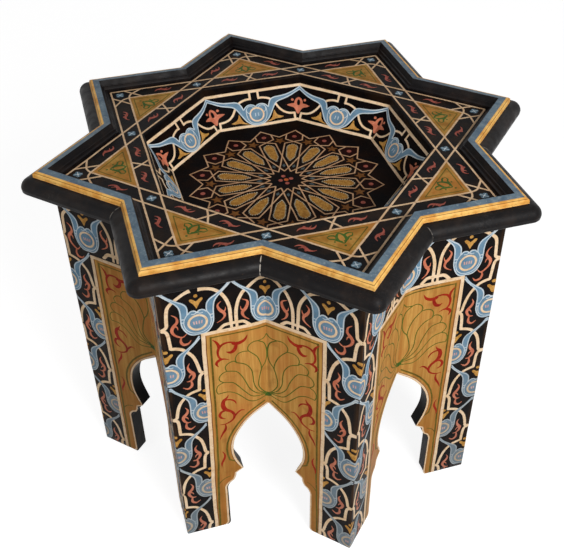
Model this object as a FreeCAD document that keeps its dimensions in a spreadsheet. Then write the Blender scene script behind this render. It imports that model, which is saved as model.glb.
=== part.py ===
import FreeCAD, Part
import math
import os

import Sketcher

# Painted side table on an eight-pointed star plan.
# The origin is on the floor under the middle of the table, +Z is up, and lengths are in millimetres.
# The plan is two equal squares turned by 45 degrees. Inward corners lie at 0, 45, 90 ... degrees and
# the points halfway between them, so every mitre lies in an upright plane through the Z axis.
# Each piece is drawn in a frame turned about the Z axis, whose X axis points squarely out of the piece.

os.makedirs("parts", exist_ok=True)
doc = FreeCAD.newDocument("star_table")

# Driving sizes: name, value, what it measures
SIZES = [
    ("stool_height", 480.0, "floor to the crest of the rim"),
    ("field_drop", 14.0, "crest of the rim down to the top panel"),
    ("panel_thickness", 12.0, "thickness of the star-shaped panel"),
    ("panel_overhang", 10.6, "panel edge beyond the face of the side boards"),
    ("board_apothem", 204.4, "table axis to the face of the side boards"),
    ("board_thickness", 18.0, "thickness of the side boards"),
    ("point_ease", 1.5, "rounding of the upright edges at the points"),
    ("arch_height", 227.0, "floor to the peak of an arch, in the inward corner"),
    ("arch_half_width", 59.0, "inward corner to the side of the arch, along the board"),
    ("foot_ease", 3.5, "rounding of the arch side where it meets the floor"),
    ("rim_lap", 17.5, "rim moulding inward over the panel, from the panel edge"),
    ("rim_overhang", 18.5, "rim moulding outward, from the panel edge"),
    ("opening_round", 3.0, "rounding of the opening's upper edge"),
    ("well_depth", 54.0, "top panel down to the floor of the well"),
    ("well_wall_width", 12.0, "thickness of the well walls, measured level"),
    ("well_gap", 7.4, "back of the well walls' heads to the inside of the side boards"),
    ("well_lean", 29.8, "head of a well wall beyond its foot"),
    ("well_floor_thickness", 10.0, "thickness of the well's floor"),
    ("block_height", 40.0, "height of the corner blocks"),
    ("block_leg", 42.0, "corner block along each side board"),
    ("block_blunting", 4.0, "flat on the corner block's sharp corner, along each board"),
    ("screw_inset", 20.0, "inner corner of the boards to the screw"),
    ("screw_radius", 2.0, "shank of the screws"),
    ("screw_grip", 8.0, "screw into the panel"),
    ("screw_head_radius", 4.2, "head of the screws"),
    ("screw_head_height", 2.6, "head of the screws"),
    ("screw_clearance", 0.2, "around the shank in the corner blocks"),
    ("overrun", 5.0, "how far cuts run past the wood"),
]

sheet = doc.addObject("Spreadsheet::Sheet", "Sizes")
for row, (alias, value, meaning) in enumerate(SIZES, start=1):
    sheet.set("A%d" % row, meaning)
    sheet.set("B%d" % row, str(value))
    sheet.setAlias("B%d" % row, alias)
doc.recompute()


class Size:
    """A length worked out from the sheet, as a number and as the expression that gives it."""

    def __init__(self, value, text):
        self.value = value
        self.text = text

    def __add__(self, other):
        return Size(self.value + other.value, "(%s + %s)" % (self.text, other.text))

    def __sub__(self, other):
        return Size(self.value - other.value, "(%s - %s)" % (self.text, other.text))

    def __mul__(self, factor):
        return Size(self.value * factor, "(%s * %.9f)" % (self.text, factor))


def read(alias):
    return Size(float(sheet.get(alias)), "Sizes." + alias)


ZERO = Size(0.0, "0")
WORD = {alias: read(alias) for alias, value, meaning in SIZES}
OVERRUN = WORD["overrun"]

# Levels above the floor
FIELD_LEVEL = WORD["stool_height"] - WORD["field_drop"]
BOARD_TOP = FIELD_LEVEL - WORD["panel_thickness"]
WELL_LEVEL = FIELD_LEVEL - WORD["well_depth"]

# Apothems: squarely out from the table's axis
BOARD_OUT = WORD["board_apothem"]
BOARD_IN = BOARD_OUT - WORD["board_thickness"]
PANEL_OUT = BOARD_OUT + WORD["panel_overhang"]
RIM_IN = PANEL_OUT - WORD["rim_lap"]
RIM_OUT = PANEL_OUT + WORD["rim_overhang"]
RIM_WIDTH = RIM_OUT - RIM_IN
RIM_DEPTH = WORD["stool_height"] - BOARD_TOP
OPENING = BOARD_IN - WORD["well_gap"] - WORD["well_wall_width"]
WELL_FOOT = OPENING - WORD["well_lean"]

# The star repeats every 45 degrees, and a mitre lies every half of that
STAR_STEP = 45.0
HALF_STEP = STAR_STEP / 2
CORNERS = 8
FRONT_CORNER_ANGLE = -90.0
SLOPE_TO_INWARD_CORNER = math.tan(math.radians(HALF_STEP))
CORNER_PER_APOTHEM = 1 / math.cos(math.radians(HALF_STEP))
POINT_PER_APOTHEM = math.sqrt(2)
COS_45 = math.cos(math.radians(STAR_STEP))
COS_22 = math.cos(math.radians(HALF_STEP))
SIN_22 = math.sin(math.radians(HALF_STEP))

# Two places closer than this are one
TOUCH = 1e-6

# Inner corner of the boards in a point, and the screw in its block, out from the table's axis
POINT_INSIDE = BOARD_IN * POINT_PER_APOTHEM
SCREW_OUT = POINT_INSIDE - WORD["screw_inset"]
BLOCK_UNDER = BOARD_TOP - WORD["block_height"]

# Half arch, as shares of arch_half_width (from the inward corner) and of arch_height (from the floor).
# The first point carries the slope of the peak on behind the corner, for the inner face of the board.
ARCH_SHARES = [
    (-0.305, 1.055),
    (0.237, 0.956),
    (0.751, 0.782),
    (0.719, 0.566),
    (0.620, 0.502),
    (0.790, 0.469),
    (0.861, 0.409),
    (1.000, 0.339),
]
# The sides of the half arch that are arcs: the point they start from, and a point they pass through
ARCH_BULGE_SHARES = {
    1: (0.563, 0.872),
    2: (0.810, 0.702),
    5: (0.807, 0.437),
    6: (0.959, 0.386),
}

# Foot rounding: a point of the arc, as shares of foot_ease across and of its height
FOOT_HEIGHT_SHARE = 2.0
FOOT_BULGE_SHARES = (0.27, 0.62)

# Rim section above the panel and round the lip, as shares of the rim's width from its inner foot
# and of its depth from its underside
RIM_SHARES = [
    (0.000, 0.546),
    (0.083, 0.600),
    (0.100, 0.690),
    (0.155, 0.750),
    (0.225, 1.000),
    (0.456, 0.950),
    (0.578, 0.754),
    (0.578, 0.696),
    (0.622, 0.681),
]
# The section goes on down the lip's quarter-round, from the foot that the last point above gives
LIP_SHARES = [
    (1.000, 0.230),
    (0.985, 0.060),
    (0.950, 0.000),
]
RIM_BULGE_SHARES = {
    0: (0.062, 0.553),
    2: (0.142, 0.703),
    5: (0.556, 0.885),
    8: (0.900, 0.520),
}


def vector(point):
    return FreeCAD.Vector(point[0].value, point[1].value, 0)


def new_body(label, turn):
    """A body in the frame turned about the Z axis by so many degrees."""
    body = doc.addObject("PartDesign::Body", label)
    body.Label = label
    body.Placement = FreeCAD.Placement(FreeCAD.Vector(), FreeCAD.Rotation(FreeCAD.Vector(0, 0, 1), turn))
    return body


def new_sketch(body, name, plane, level=None):
    """A sketch on one of the body's own planes, raised to a level where one is given."""
    sketch = body.newObject("Sketcher::SketchObject", name)
    origin_plane = [item for item in body.Origin.OriginFeatures if item.Role == plane][0]
    sketch.AttachmentSupport = [(origin_plane, "")]
    sketch.MapMode = "FlatFace"
    if level is not None:
        sketch.setExpression("AttachmentOffset.Base.z", level.text)
    return sketch


def pin_point(sketch, geometry, end, point):
    """Ties a point of the sketch to two sizes of the sheet."""
    for word, axis, size in (("DistanceX", -2, point[0]), ("DistanceY", -1, point[1])):
        if size is ZERO:
            sketch.addConstraint(Sketcher.Constraint("PointOnObject", geometry, end, axis))
            continue
        index = sketch.addConstraint(Sketcher.Constraint(word, -1, 1, geometry, end, size.value))
        sketch.setExpression("Constraints[%d]" % index, size.text)


def draw_outline(sketch, points, bulges=None):
    """A closed outline. A bulge makes the side that starts at its point an arc through that place."""
    bulges = bulges or {}
    ends = []
    for index, point in enumerate(points):
        start = vector(point)
        stop = vector(points[(index + 1) % len(points)])
        if index not in bulges:
            side = sketch.addGeometry(Part.LineSegment(start, stop), False)
            ends.append((side, 1, 2))
            continue
        side = sketch.addGeometry(Part.Arc(start, vector(bulges[index]), stop), False)
        forward = (sketch.getPoint(side, 1) - start).Length < (sketch.getPoint(side, 2) - start).Length
        ends.append((side, 1, 2) if forward else (side, 2, 1))
    for index, (side, first, last) in enumerate(ends):
        next_side, next_first, next_last = ends[(index + 1) % len(ends)]
        sketch.addConstraint(Sketcher.Constraint("Coincident", side, last, next_side, next_first))
    for (side, first, last), point in zip(ends, points):
        pin_point(sketch, side, first, point)
    for index, place in bulges.items():
        mark = sketch.addGeometry(Part.Point(vector(place)), True)
        pin_point(sketch, mark, 1, place)
        sketch.addConstraint(Sketcher.Constraint("PointOnObject", mark, 1, ends[index][0]))


def draw_circle(sketch, centre, radius):
    circle = sketch.addGeometry(Part.Circle(vector(centre), FreeCAD.Vector(0, 0, 1), radius.value), False)
    pin_point(sketch, circle, 3, centre)
    index = sketch.addConstraint(Sketcher.Constraint("Radius", circle, radius.value))
    sketch.setExpression("Constraints[%d]" % index, radius.text)


def pad(body, sketch, length, both_ways=False, backward=False):
    feature = body.newObject("PartDesign::Pad", sketch.Name + "_pad")
    feature.Profile = sketch
    feature.SideType = "Symmetric" if both_ways else "One side"
    feature.Reversed = backward
    feature.setExpression("Length", length.text)
    sketch.Visibility = False
    return feature


def pocket(body, sketch, depth=None):
    """Cuts the sketch's outline away, right through both ways or to a depth upwards."""
    feature = body.newObject("PartDesign::Pocket", sketch.Name + "_cut")
    feature.Profile = sketch
    if depth is None:
        feature.SideType = "Symmetric"
        feature.Type = "ThroughAll"
    else:
        feature.Reversed = True
        feature.setExpression("Length", depth.text)
    sketch.Visibility = False
    return feature


def on_mitre(apothem, hand, slope):
    """Where a line parallel to the piece's face meets a mitre plane, in plan."""
    return (apothem, apothem * (hand * slope))


def side_board(label, turn, hand):
    """One upright board, from an inward corner to a point, with half an arch sawn out of it."""
    body = new_body(label, turn)
    ease = WORD["point_ease"]
    eased = BOARD_OUT - ease
    plan = new_sketch(body, label + "_plan", "XY_Plane")
    plan_points = [
        on_mitre(BOARD_IN, hand, SLOPE_TO_INWARD_CORNER),
        on_mitre(BOARD_OUT, hand, SLOPE_TO_INWARD_CORNER),
        (BOARD_OUT, eased * hand),
        (eased + ease * COS_45, (eased + ease * COS_45) * hand),
        on_mitre(BOARD_IN, hand, 1),
    ]
    plan_bulges = {2: (eased + ease * COS_22, (eased + ease * SIN_22) * hand)}
    draw_outline(plan, plan_points, plan_bulges)
    pad(body, plan, BOARD_TOP)

    half_width = WORD["arch_half_width"]
    height = WORD["arch_height"]
    foot = WORD["foot_ease"]
    foot_height = foot * FOOT_HEIGHT_SHARE
    corner = BOARD_OUT * SLOPE_TO_INWARD_CORNER

    def place(along, up):
        return ((corner + along) * hand, up)

    arch_points = [place(half_width * across, height * up) for across, up in ARCH_SHARES]
    arch_bulges = {}
    for index, (across, up) in ARCH_BULGE_SHARES.items():
        arch_bulges[index] = place(half_width * across, height * up)
    foot_index = len(arch_points)
    arch_points.append(place(half_width, foot_height))
    foot_across, foot_up = FOOT_BULGE_SHARES
    arch_bulges[foot_index] = place(half_width + foot * foot_across, foot_height - foot_height * foot_up)
    arch_points.append(place(half_width + foot, ZERO))
    arch_points.append(place(half_width + foot, ZERO - OVERRUN))
    arch_points.append(place(half_width * ARCH_SHARES[0][0], ZERO - OVERRUN))
    arch = new_sketch(body, label + "_arch", "YZ_Plane")
    draw_outline(arch, arch_points, arch_bulges)
    pocket(body, arch)
    return body


def rim_moulding(label, turn, hand):
    """One mitred length of the rim, rebated over the edge of the panel."""
    body = new_body(label, turn)

    def place(across, up):
        return (RIM_IN + RIM_WIDTH * across, BOARD_TOP + RIM_DEPTH * up)

    section_points = [place(across, up) for across, up in RIM_SHARES]
    lip_index = len(section_points) - 1
    lip_foot, lip_level = section_points[lip_index]
    lip_points = [place(across, up) for across, up in LIP_SHARES]
    section_points.extend(lip_points)
    section_points.append((PANEL_OUT, BOARD_TOP))
    section_points.append((PANEL_OUT, FIELD_LEVEL))
    section_points.append((RIM_IN, FIELD_LEVEL))
    section_bulges = {index: place(across, up) for index, (across, up) in RIM_BULGE_SHARES.items()}
    section = new_sketch(body, label + "_section", "XZ_Plane")
    draw_outline(section, section_points, section_bulges)
    length = RIM_OUT + OVERRUN
    pad(body, section, length, backward=hand > 0)

    inside = RIM_IN - OVERRUN
    outside = RIM_OUT + OVERRUN
    beyond = (length + OVERRUN) * hand
    mitres = new_sketch(body, label + "_mitres", "XY_Plane")
    inward_corner = [
        (inside, OVERRUN * -hand),
        (outside, OVERRUN * -hand),
        on_mitre(outside, hand, SLOPE_TO_INWARD_CORNER),
        on_mitre(inside, hand, SLOPE_TO_INWARD_CORNER),
    ]
    draw_outline(mitres, inward_corner)
    point = [
        on_mitre(inside, hand, 1),
        on_mitre(lip_foot, hand, 1),
        (outside, lip_foot * hand),
        (outside, beyond),
        (inside, beyond),
    ]
    draw_outline(mitres, point)
    pocket(body, mitres)

    # The lip turns round the point about an upright axis through the foot of its quarter-round
    turning_points = [(ZERO, lip_level)]
    turning_points.extend((across - lip_foot, up) for across, up in lip_points)
    turning_points.append((ZERO, BOARD_TOP))
    across, up = section_bulges[lip_index]
    turning = new_sketch(body, label + "_turning", "XZ_Plane", lip_foot * -hand)
    turning.setExpression("AttachmentOffset.Base.x", lip_foot.text)
    draw_outline(turning, turning_points, {0: (across - lip_foot, up)})
    corner = body.newObject("PartDesign::Revolution", label + "_corner")
    corner.Profile = turning
    corner.ReferenceAxis = (turning, ["V_Axis"])
    corner.Angle = STAR_STEP
    corner.Reversed = hand < 0
    turning.Visibility = False
    return body


def ring_corners(count, first_angle, radii):
    """Corners round the axis, whose distances take turns."""
    corners = []
    for index in range(count):
        angle = math.radians(first_angle + index * 360.0 / count)
        radius = radii[index % len(radii)]
        corners.append((radius * math.cos(angle), radius * math.sin(angle)))
    return corners


def top_panel():
    """The star-shaped panel with its octagonal opening and the holes that the screws bite into."""
    body = new_body("top_panel", 0)
    star = new_sketch(body, "star", "XY_Plane", BOARD_TOP)
    star_radii = [PANEL_OUT * CORNER_PER_APOTHEM, PANEL_OUT * POINT_PER_APOTHEM]
    draw_outline(star, ring_corners(2 * CORNERS, 0, star_radii))
    pad(body, star, WORD["panel_thickness"])
    opening = new_sketch(body, "opening", "XY_Plane")
    draw_outline(opening, ring_corners(CORNERS, 0, [OPENING * CORNER_PER_APOTHEM]))
    pocket(body, opening)
    screws = new_sketch(body, "screw_holes", "XY_Plane", BOARD_TOP)
    for centre in ring_corners(CORNERS, HALF_STEP, [SCREW_OUT]):
        draw_circle(screws, centre, WORD["screw_radius"])
    cut = pocket(body, screws, WORD["screw_grip"])
    doc.recompute()
    opening_radius = OPENING.value * CORNER_PER_APOTHEM
    edges = []
    for number, edge in enumerate(cut.Shape.Edges, start=1):
        on_top = all(abs(vertex.Z - FIELD_LEVEL.value) < TOUCH for vertex in edge.Vertexes)
        inner = all(math.hypot(vertex.X, vertex.Y) < opening_radius + TOUCH for vertex in edge.Vertexes)
        if on_top and inner:
            edges.append("Edge%d" % number)
    fillet = body.newObject("PartDesign::Fillet", "opening_edge")
    fillet.Base = (cut, edges)
    fillet.setExpression("Radius", WORD["opening_round"].text)
    return body


def well_wall(label, turn):
    """One sloping board of the well, mitred at both ends."""
    body = new_body(label, turn)
    width = WORD["well_wall_width"]
    section_points = [
        (WELL_FOOT, WELL_LEVEL),
        (WELL_FOOT + width, WELL_LEVEL),
        (OPENING + width, BOARD_TOP),
        (OPENING, BOARD_TOP),
    ]
    section = new_sketch(body, label + "_section", "XZ_Plane")
    draw_outline(section, section_points)
    outside = OPENING + width + OVERRUN
    inside = WELL_FOOT - OVERRUN
    beyond = outside * SLOPE_TO_INWARD_CORNER + OVERRUN
    pad(body, section, beyond * 2, both_ways=True)
    mitres = new_sketch(body, label + "_mitres", "XY_Plane")
    for hand in (1, -1):
        end = [
            on_mitre(inside, hand, SLOPE_TO_INWARD_CORNER),
            on_mitre(outside, hand, SLOPE_TO_INWARD_CORNER),
            (outside, (beyond + OVERRUN) * hand),
            (inside, (beyond + OVERRUN) * hand),
        ]
        draw_outline(mitres, end)
    pocket(body, mitres)
    return body


def well_floor():
    body = new_body("well_floor", 0)
    plan = new_sketch(body, "well_floor_plan", "XY_Plane", WELL_LEVEL - WORD["well_floor_thickness"])
    edge = WELL_FOOT + WORD["well_wall_width"]
    draw_outline(plan, ring_corners(CORNERS, 0, [edge * CORNER_PER_APOTHEM]))
    pad(body, plan, WORD["well_floor_thickness"])
    return body


def corner_block(label, turn):
    """A glue block between the two boards of a point, with a hole for its screw."""
    body = new_body(label, turn)
    reach = WORD["block_leg"] * COS_45
    flat = WORD["block_blunting"] * COS_45
    plan = new_sketch(body, label + "_plan", "XY_Plane", BLOCK_UNDER)
    plan_points = [
        (POINT_INSIDE - reach, reach * -1),
        (POINT_INSIDE - flat, flat * -1),
        (POINT_INSIDE - flat, flat),
        (POINT_INSIDE - reach, reach),
    ]
    draw_outline(plan, plan_points)
    pad(body, plan, WORD["block_height"])
    hole = new_sketch(body, label + "_hole", "XY_Plane")
    draw_circle(hole, (SCREW_OUT, ZERO), WORD["screw_radius"] + WORD["screw_clearance"])
    pocket(body, hole)
    return body


def block_screws(label):
    """Eight round-head screws, each up through a corner block into the panel."""
    screws = []
    for index in range(CORNERS):
        angle = math.radians(HALF_STEP + STAR_STEP * index)
        shank = doc.addObject("Part::Cylinder", "shank_%d" % (index + 1))
        shank.setExpression("Radius", WORD["screw_radius"].text)
        shank.setExpression("Height", (WORD["block_height"] + WORD["screw_grip"]).text)
        shank.setExpression("Placement.Base.z", BLOCK_UNDER.text)
        head = doc.addObject("Part::Cylinder", "head_%d" % (index + 1))
        head.setExpression("Radius", WORD["screw_head_radius"].text)
        head.setExpression("Height", WORD["screw_head_height"].text)
        head.setExpression("Placement.Base.z", (BLOCK_UNDER - WORD["screw_head_height"]).text)
        for piece in (shank, head):
            piece.setExpression("Placement.Base.x", (SCREW_OUT * math.cos(angle)).text)
            piece.setExpression("Placement.Base.y", (SCREW_OUT * math.sin(angle)).text)
        screw = doc.addObject("Part::Fuse", "screw_%d" % (index + 1))
        screw.Base = head
        screw.Tool = shank
        screws.append(screw)
    group = doc.addObject("Part::Compound", label)
    group.Label = label
    group.Links = screws
    return group


sub_parts = [top_panel(), well_floor()]
for number in range(1, CORNERS + 1):
    inward = FRONT_CORNER_ANGLE + STAR_STEP * (number - 1)
    right_turn = inward - HALF_STEP
    left_turn = inward + HALF_STEP
    sub_parts.append(side_board("side_board_%d_right" % number, right_turn, 1))
    sub_parts.append(side_board("side_board_%d_left" % number, left_turn, -1))
    sub_parts.append(rim_moulding("rim_moulding_%d_right" % number, right_turn, 1))
    sub_parts.append(rim_moulding("rim_moulding_%d_left" % number, left_turn, -1))
    sub_parts.append(well_wall("well_wall_%d" % number, left_turn))
    sub_parts.append(corner_block("corner_block_%d" % number, left_turn))
sub_parts.append(block_screws("block_screws"))
doc.recompute()

for item in doc.Objects:
    if "Invalid" in item.State or "Error" in item.State:
        raise RuntimeError("%s failed: %s" % (item.Label, item.State))
for part in sub_parts:
    if part.Shape.isNull() or not part.Shape.isValid():
        raise RuntimeError("%s has no sound shape" % part.Label)
for part in sub_parts:
    part.Shape.exportStep("parts/%s.step" % part.Label)
print("%d sub-parts written" % len(sub_parts))
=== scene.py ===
import math

import bpy
import numpy as np
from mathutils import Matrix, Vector
from mathutils.geometry import delaunay_2d_cdt


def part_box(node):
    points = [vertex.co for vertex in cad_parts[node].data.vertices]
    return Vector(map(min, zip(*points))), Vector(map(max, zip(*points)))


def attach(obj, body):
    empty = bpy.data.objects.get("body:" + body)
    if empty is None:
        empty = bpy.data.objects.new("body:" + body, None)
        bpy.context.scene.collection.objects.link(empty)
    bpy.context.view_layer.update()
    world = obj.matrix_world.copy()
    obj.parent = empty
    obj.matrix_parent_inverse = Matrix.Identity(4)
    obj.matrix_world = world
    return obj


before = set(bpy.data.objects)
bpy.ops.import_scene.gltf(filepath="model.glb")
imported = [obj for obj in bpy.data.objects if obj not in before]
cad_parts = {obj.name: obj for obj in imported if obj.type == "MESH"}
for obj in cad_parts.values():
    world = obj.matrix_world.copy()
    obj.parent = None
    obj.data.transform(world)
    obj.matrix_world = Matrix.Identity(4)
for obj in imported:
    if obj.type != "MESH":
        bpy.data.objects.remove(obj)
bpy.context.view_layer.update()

# Painted side table on an eight-pointed star plan. The frame holds the wooden pieces; this script gives
# them their finishes and adds the painted ornament as thin closed layers of paint on their faces.
# Drawings are in millimetres on a flat face, and the scene is in metres.
MM = 0.001
BODY = "root"
CORNERS = 8
STAR_STEP = 45.0
HALF_STEP = STAR_STEP / 2
FRONT_CORNER_ANGLE = -90.0
UPRIGHT = Vector((0, 0, 1))
TO_CORNER = math.tan(math.radians(HALF_STEP))


def direction(degrees):
    return Vector((math.cos(math.radians(degrees)), math.sin(math.radians(degrees)), 0))


def sideways(degrees):
    return Vector((-math.sin(math.radians(degrees)), math.cos(math.radians(degrees)), 0))


def node_points(name):
    return np.array([vertex.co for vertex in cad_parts[name].data.vertices])


def reach(name, along):
    """How far a node goes from the table's axis, in millimetres."""
    return float((node_points(name) @ np.array(along)).max()) / MM


FRONT_TURN = FRONT_CORNER_ANGLE - HALF_STEP
BOARD_FACE = reach("side_board_1_right", direction(FRONT_TURN))
BOARD_INSIDE = float((node_points("side_board_1_right") @ np.array(direction(FRONT_TURN))).min()) / MM
BOARD_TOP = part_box("side_board_1_right")[1].z / MM
FIELD_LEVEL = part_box("top_panel")[1].z / MM
FLOOR_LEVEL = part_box("well_floor")[1].z / MM


def add_object(name, data):
    item = bpy.data.objects.new(name, data)
    bpy.context.scene.collection.objects.link(item)
    return item


# Flat drawing kit

SMOOTH_STEPS = 3
SAME_POINT = 1e-4


def smooth(points, steps=SMOOTH_STEPS, closed=False):
    """Points along a soft curve through the given ones."""
    count = len(points)
    curve = []
    for index in range(count if closed else count - 1):
        p0, p1, p2, p3 = (points[k % count] if closed else points[min(max(k, 0), count - 1)]
                          for k in range(index - 1, index + 3))
        for step in range(steps):
            t = step / steps
            curve.append(tuple(
                0.5 * (2 * b + (c - a) * t + (2 * a - 5 * b + 4 * c - d) * t * t
                       + (3 * b - a - 3 * c + d) * t ** 3)
                for a, b, c, d in zip(p0, p1, p2, p3)))
    if not closed:
        curve.append(tuple(points[-1]))
    return curve


def stroke(points, width, steps=SMOOTH_STEPS):
    """A brush stroke as a row of small pieces. The width is one number, or one for each point."""
    widths = [width] * len(points) if isinstance(width, (int, float)) else width
    path = smooth([(x, y, w) for (x, y), w in zip(points, widths)], steps)
    sides = []
    for index, (x, y, w) in enumerate(path):
        before = path[max(index - 1, 0)]
        after = path[min(index + 1, len(path) - 1)]
        dx, dy = after[0] - before[0], after[1] - before[1]
        length = math.hypot(dx, dy) or 1.0
        half = max(w, 0) / 2
        sides.append(((x - dy / length * half, y + dx / length * half),
                      (x + dy / length * half, y - dx / length * half)))
    return [[a[0], b[0], b[1], a[1]] for a, b in zip(sides, sides[1:])]


def strokes(rows):
    """Brush strokes, each given as its points and widths."""
    return [piece for points, widths in rows for piece in stroke(points, widths)]


def line(start, end, width, pieces=6):
    """A straight stroke, in pieces short enough to follow the painter's hand."""
    points = [(start[0] + (end[0] - start[0]) * k / pieces, start[1] + (end[1] - start[1]) * k / pieces)
              for k in range(pieces + 1)]
    return stroke(points, width, 1)


def polar(radius, degrees):
    return radius * math.cos(math.radians(degrees)), radius * math.sin(math.radians(degrees))


def disc(centre, radius, sides=14):
    return [(centre[0] + radius * math.cos(math.tau * k / sides),
             centre[1] + radius * math.sin(math.tau * k / sides)) for k in range(sides)]


def ring(centre, outer, inner, sides=24):
    """A ring as a row of small pieces."""
    rim, bore = disc(centre, outer, sides), disc(centre, inner, sides)
    return [[rim[k], rim[(k + 1) % sides], bore[(k + 1) % sides], bore[k]] for k in range(sides)]


def moved(shapes, place, flip=1):
    """The shapes set down at a place, mirrored across it where flip is -1."""
    return [[(place[0] + x * flip, place[1] + y) for x, y in shape] for shape in shapes]


def turned(shapes, degrees, place=(0, 0)):
    c, s = math.cos(math.radians(degrees)), math.sin(math.radians(degrees))
    return [[(place[0] + x * c - y * s, place[1] + x * s + y * c) for x, y in shape] for shape in shapes]


def both(shapes):
    """The shapes and their mirror images across the upright axis."""
    return shapes + [[(-x, y) for x, y in shape] for shape in shapes]


def clipped(shapes, *limits):
    """The parts of the shapes where a * x + b * y <= c, for each limit (a, b, c)."""
    kept = []
    for shape in shapes:
        for a, b, c in limits:
            inside = []
            for index, point in enumerate(shape):
                last = shape[index - 1]
                over, last_over = a * point[0] + b * point[1] - c, a * last[0] + b * last[1] - c
                if (over > 0) != (last_over > 0):
                    t = last_over / (last_over - over)
                    inside.append((last[0] + (point[0] - last[0]) * t, last[1] + (point[1] - last[1]) * t))
                if over <= 0:
                    inside.append(point)
            shape = inside
        if len(shape) > 2:
            kept.append(shape)
    return kept


def window(left, right, low, high):
    return (-1, 0, -left), (1, 0, right), (0, -1, -low), (0, 1, high)


def inside_any(places, shapes):
    found = np.zeros(len(places), bool)
    for shape in shapes:
        corners = np.array(shape)
        near = np.all((places >= corners.min(0)) & (places <= corners.max(0)), axis=1)
        x, y = places[near].T
        odd = np.zeros(len(x), bool)
        for (ax, ay), (bx, by) in zip(corners, np.roll(corners, -1, axis=0)):
            if ay != by:
                crosses = (ay > y) != (by > y)
                odd ^= crosses & (x < (bx - ax) * (y - ay) / (by - ay) + ax)
        found[near] |= odd
    return found


def merged(shapes):
    """The area that the shapes cover together, as points and triangles."""
    points, edges = [], []
    for shape in shapes:
        start = len(points)
        points.extend(Vector(point) for point in shape)
        edges.extend((start + k, start + (k + 1) % len(shape)) for k in range(len(shape)))
    places, _, triangles, _, _, _ = delaunay_2d_cdt(points, edges, [], 0, SAME_POINT)
    places = np.array(places)
    triangles = np.array([list(triangle) for triangle in triangles])
    triangles = triangles[inside_any(places[triangles].mean(1), shapes)]
    a, b, c = (places[triangles[:, k]] for k in range(3))
    area = (b[:, 0] - a[:, 0]) * (c[:, 1] - a[:, 1]) - (b[:, 1] - a[:, 1]) * (c[:, 0] - a[:, 0])
    triangles[area < 0] = triangles[area < 0][:, ::-1]
    used, triangles = np.unique(triangles, return_inverse=True)
    return places[used], triangles.reshape(-1, 3)


SINK = 0.05
HAND_DRIFT = 0.35
POINT_EASE = 1.5


def drifted(places, seed):
    """The painter's hand: each copy of a drawing wanders a little, in its own way."""
    draw = np.random.RandomState(seed)
    phases = draw.uniform(0, math.tau, 6)
    x, y = places.T
    dx = np.sin(y / 9.0 + phases[0]) + 0.7 * np.sin(x / 13.0 - y / 21.0 + phases[1])
    dx += 0.5 * np.sin(x / 5.0 + y / 6.0 + phases[2])
    dy = np.sin(x / 11.0 + phases[3]) + 0.7 * np.sin(y / 15.0 + x / 19.0 + phases[4])
    dy += 0.5 * np.sin(x / 4.5 - y / 6.5 + phases[5])
    return places + HAND_DRIFT * 0.5 * np.stack([dx, dy], axis=1)


def paint_layer(name, shapes, places, height, finish, settle=None, flat_end=math.inf):
    """One colour of a drawing, laid down at each place as a thin closed layer, all in one mesh.

    Past flat_end, across the face, the layer bends round the eased edge of the board.
    """
    flat, triangles = merged(shapes)
    count = len(flat)
    ways = {(int(t[k]), int(t[(k + 1) % 3])) for t in triangles for k in range(3)}
    edges = [way for way in ways if (way[1], way[0]) not in ways]
    edges.sort()
    faces = [tuple(t) for t in triangles.tolist()]
    faces += [(c + count, b + count, a + count) for a, b, c in triangles.tolist()]
    faces += [(b, a, a + count, b + count) for a, b in edges]
    points, all_faces = [], []
    for seed, (origin, across, up, out) in enumerate(places):
        drawn = drifted(flat, seed)
        drawn = settle(flat, drawn, seed) if settle else drawn
        angle = np.maximum(drawn[:, :1] - flat_end, 0) / POINT_EASE
        level = np.minimum(drawn[:, :1], flat_end) + POINT_EASE * np.sin(angle)
        facing = np.array(out) * np.cos(angle) + np.array(across) * np.sin(angle)
        base = level * np.array(across) + drawn[:, 1:] * np.array(up)
        base = np.array(origin) + (base - POINT_EASE * (1 - np.cos(angle)) * np.array(out)) * MM
        lifted = base + facing * height * MM
        sunk = base - facing * SINK * MM
        start = 2 * count * seed
        mirrored = across.cross(up).dot(out) < 0
        points.append(np.concatenate([lifted, sunk]))
        for face in faces:
            placed = tuple(index + start for index in face)
            all_faces.append(placed[::-1] if mirrored else placed)
    mesh = bpy.data.meshes.new(name)
    mesh.from_pydata(np.concatenate(points).tolist(), [], all_faces)
    mesh.materials.append(finish)
    piece = add_object(name, mesh)
    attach(piece, BODY)
    return piece


def paint_layers(layers, places):
    for name, shapes, height, finish, slot in layers:
        paint_layer(name, shapes, places, height, finish)


# Finishes


def shade(red, green, blue):
    """A colour given in the usual 0 to 255 steps, as light."""
    steps = [value / 255 for value in (red, green, blue)]
    return tuple(v / 12.92 if v <= 0.04045 else ((v + 0.055) / 1.055) ** 2.4 for v in steps) + (1.0,)


NOISE_ROUGHNESS = 0.55
EDGE_LEVELS = (0.02, 0.25)


def fill(node, inputs):
    """Sets inputs of a node, by number or name, to a value or a link, and gives back the node."""
    for key, item in dict(inputs).items():
        if isinstance(item, bpy.types.NodeSocket):
            node.id_data.links.new(item, node.inputs[key])
        else:
            node.inputs[key].default_value = item
    return node


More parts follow.
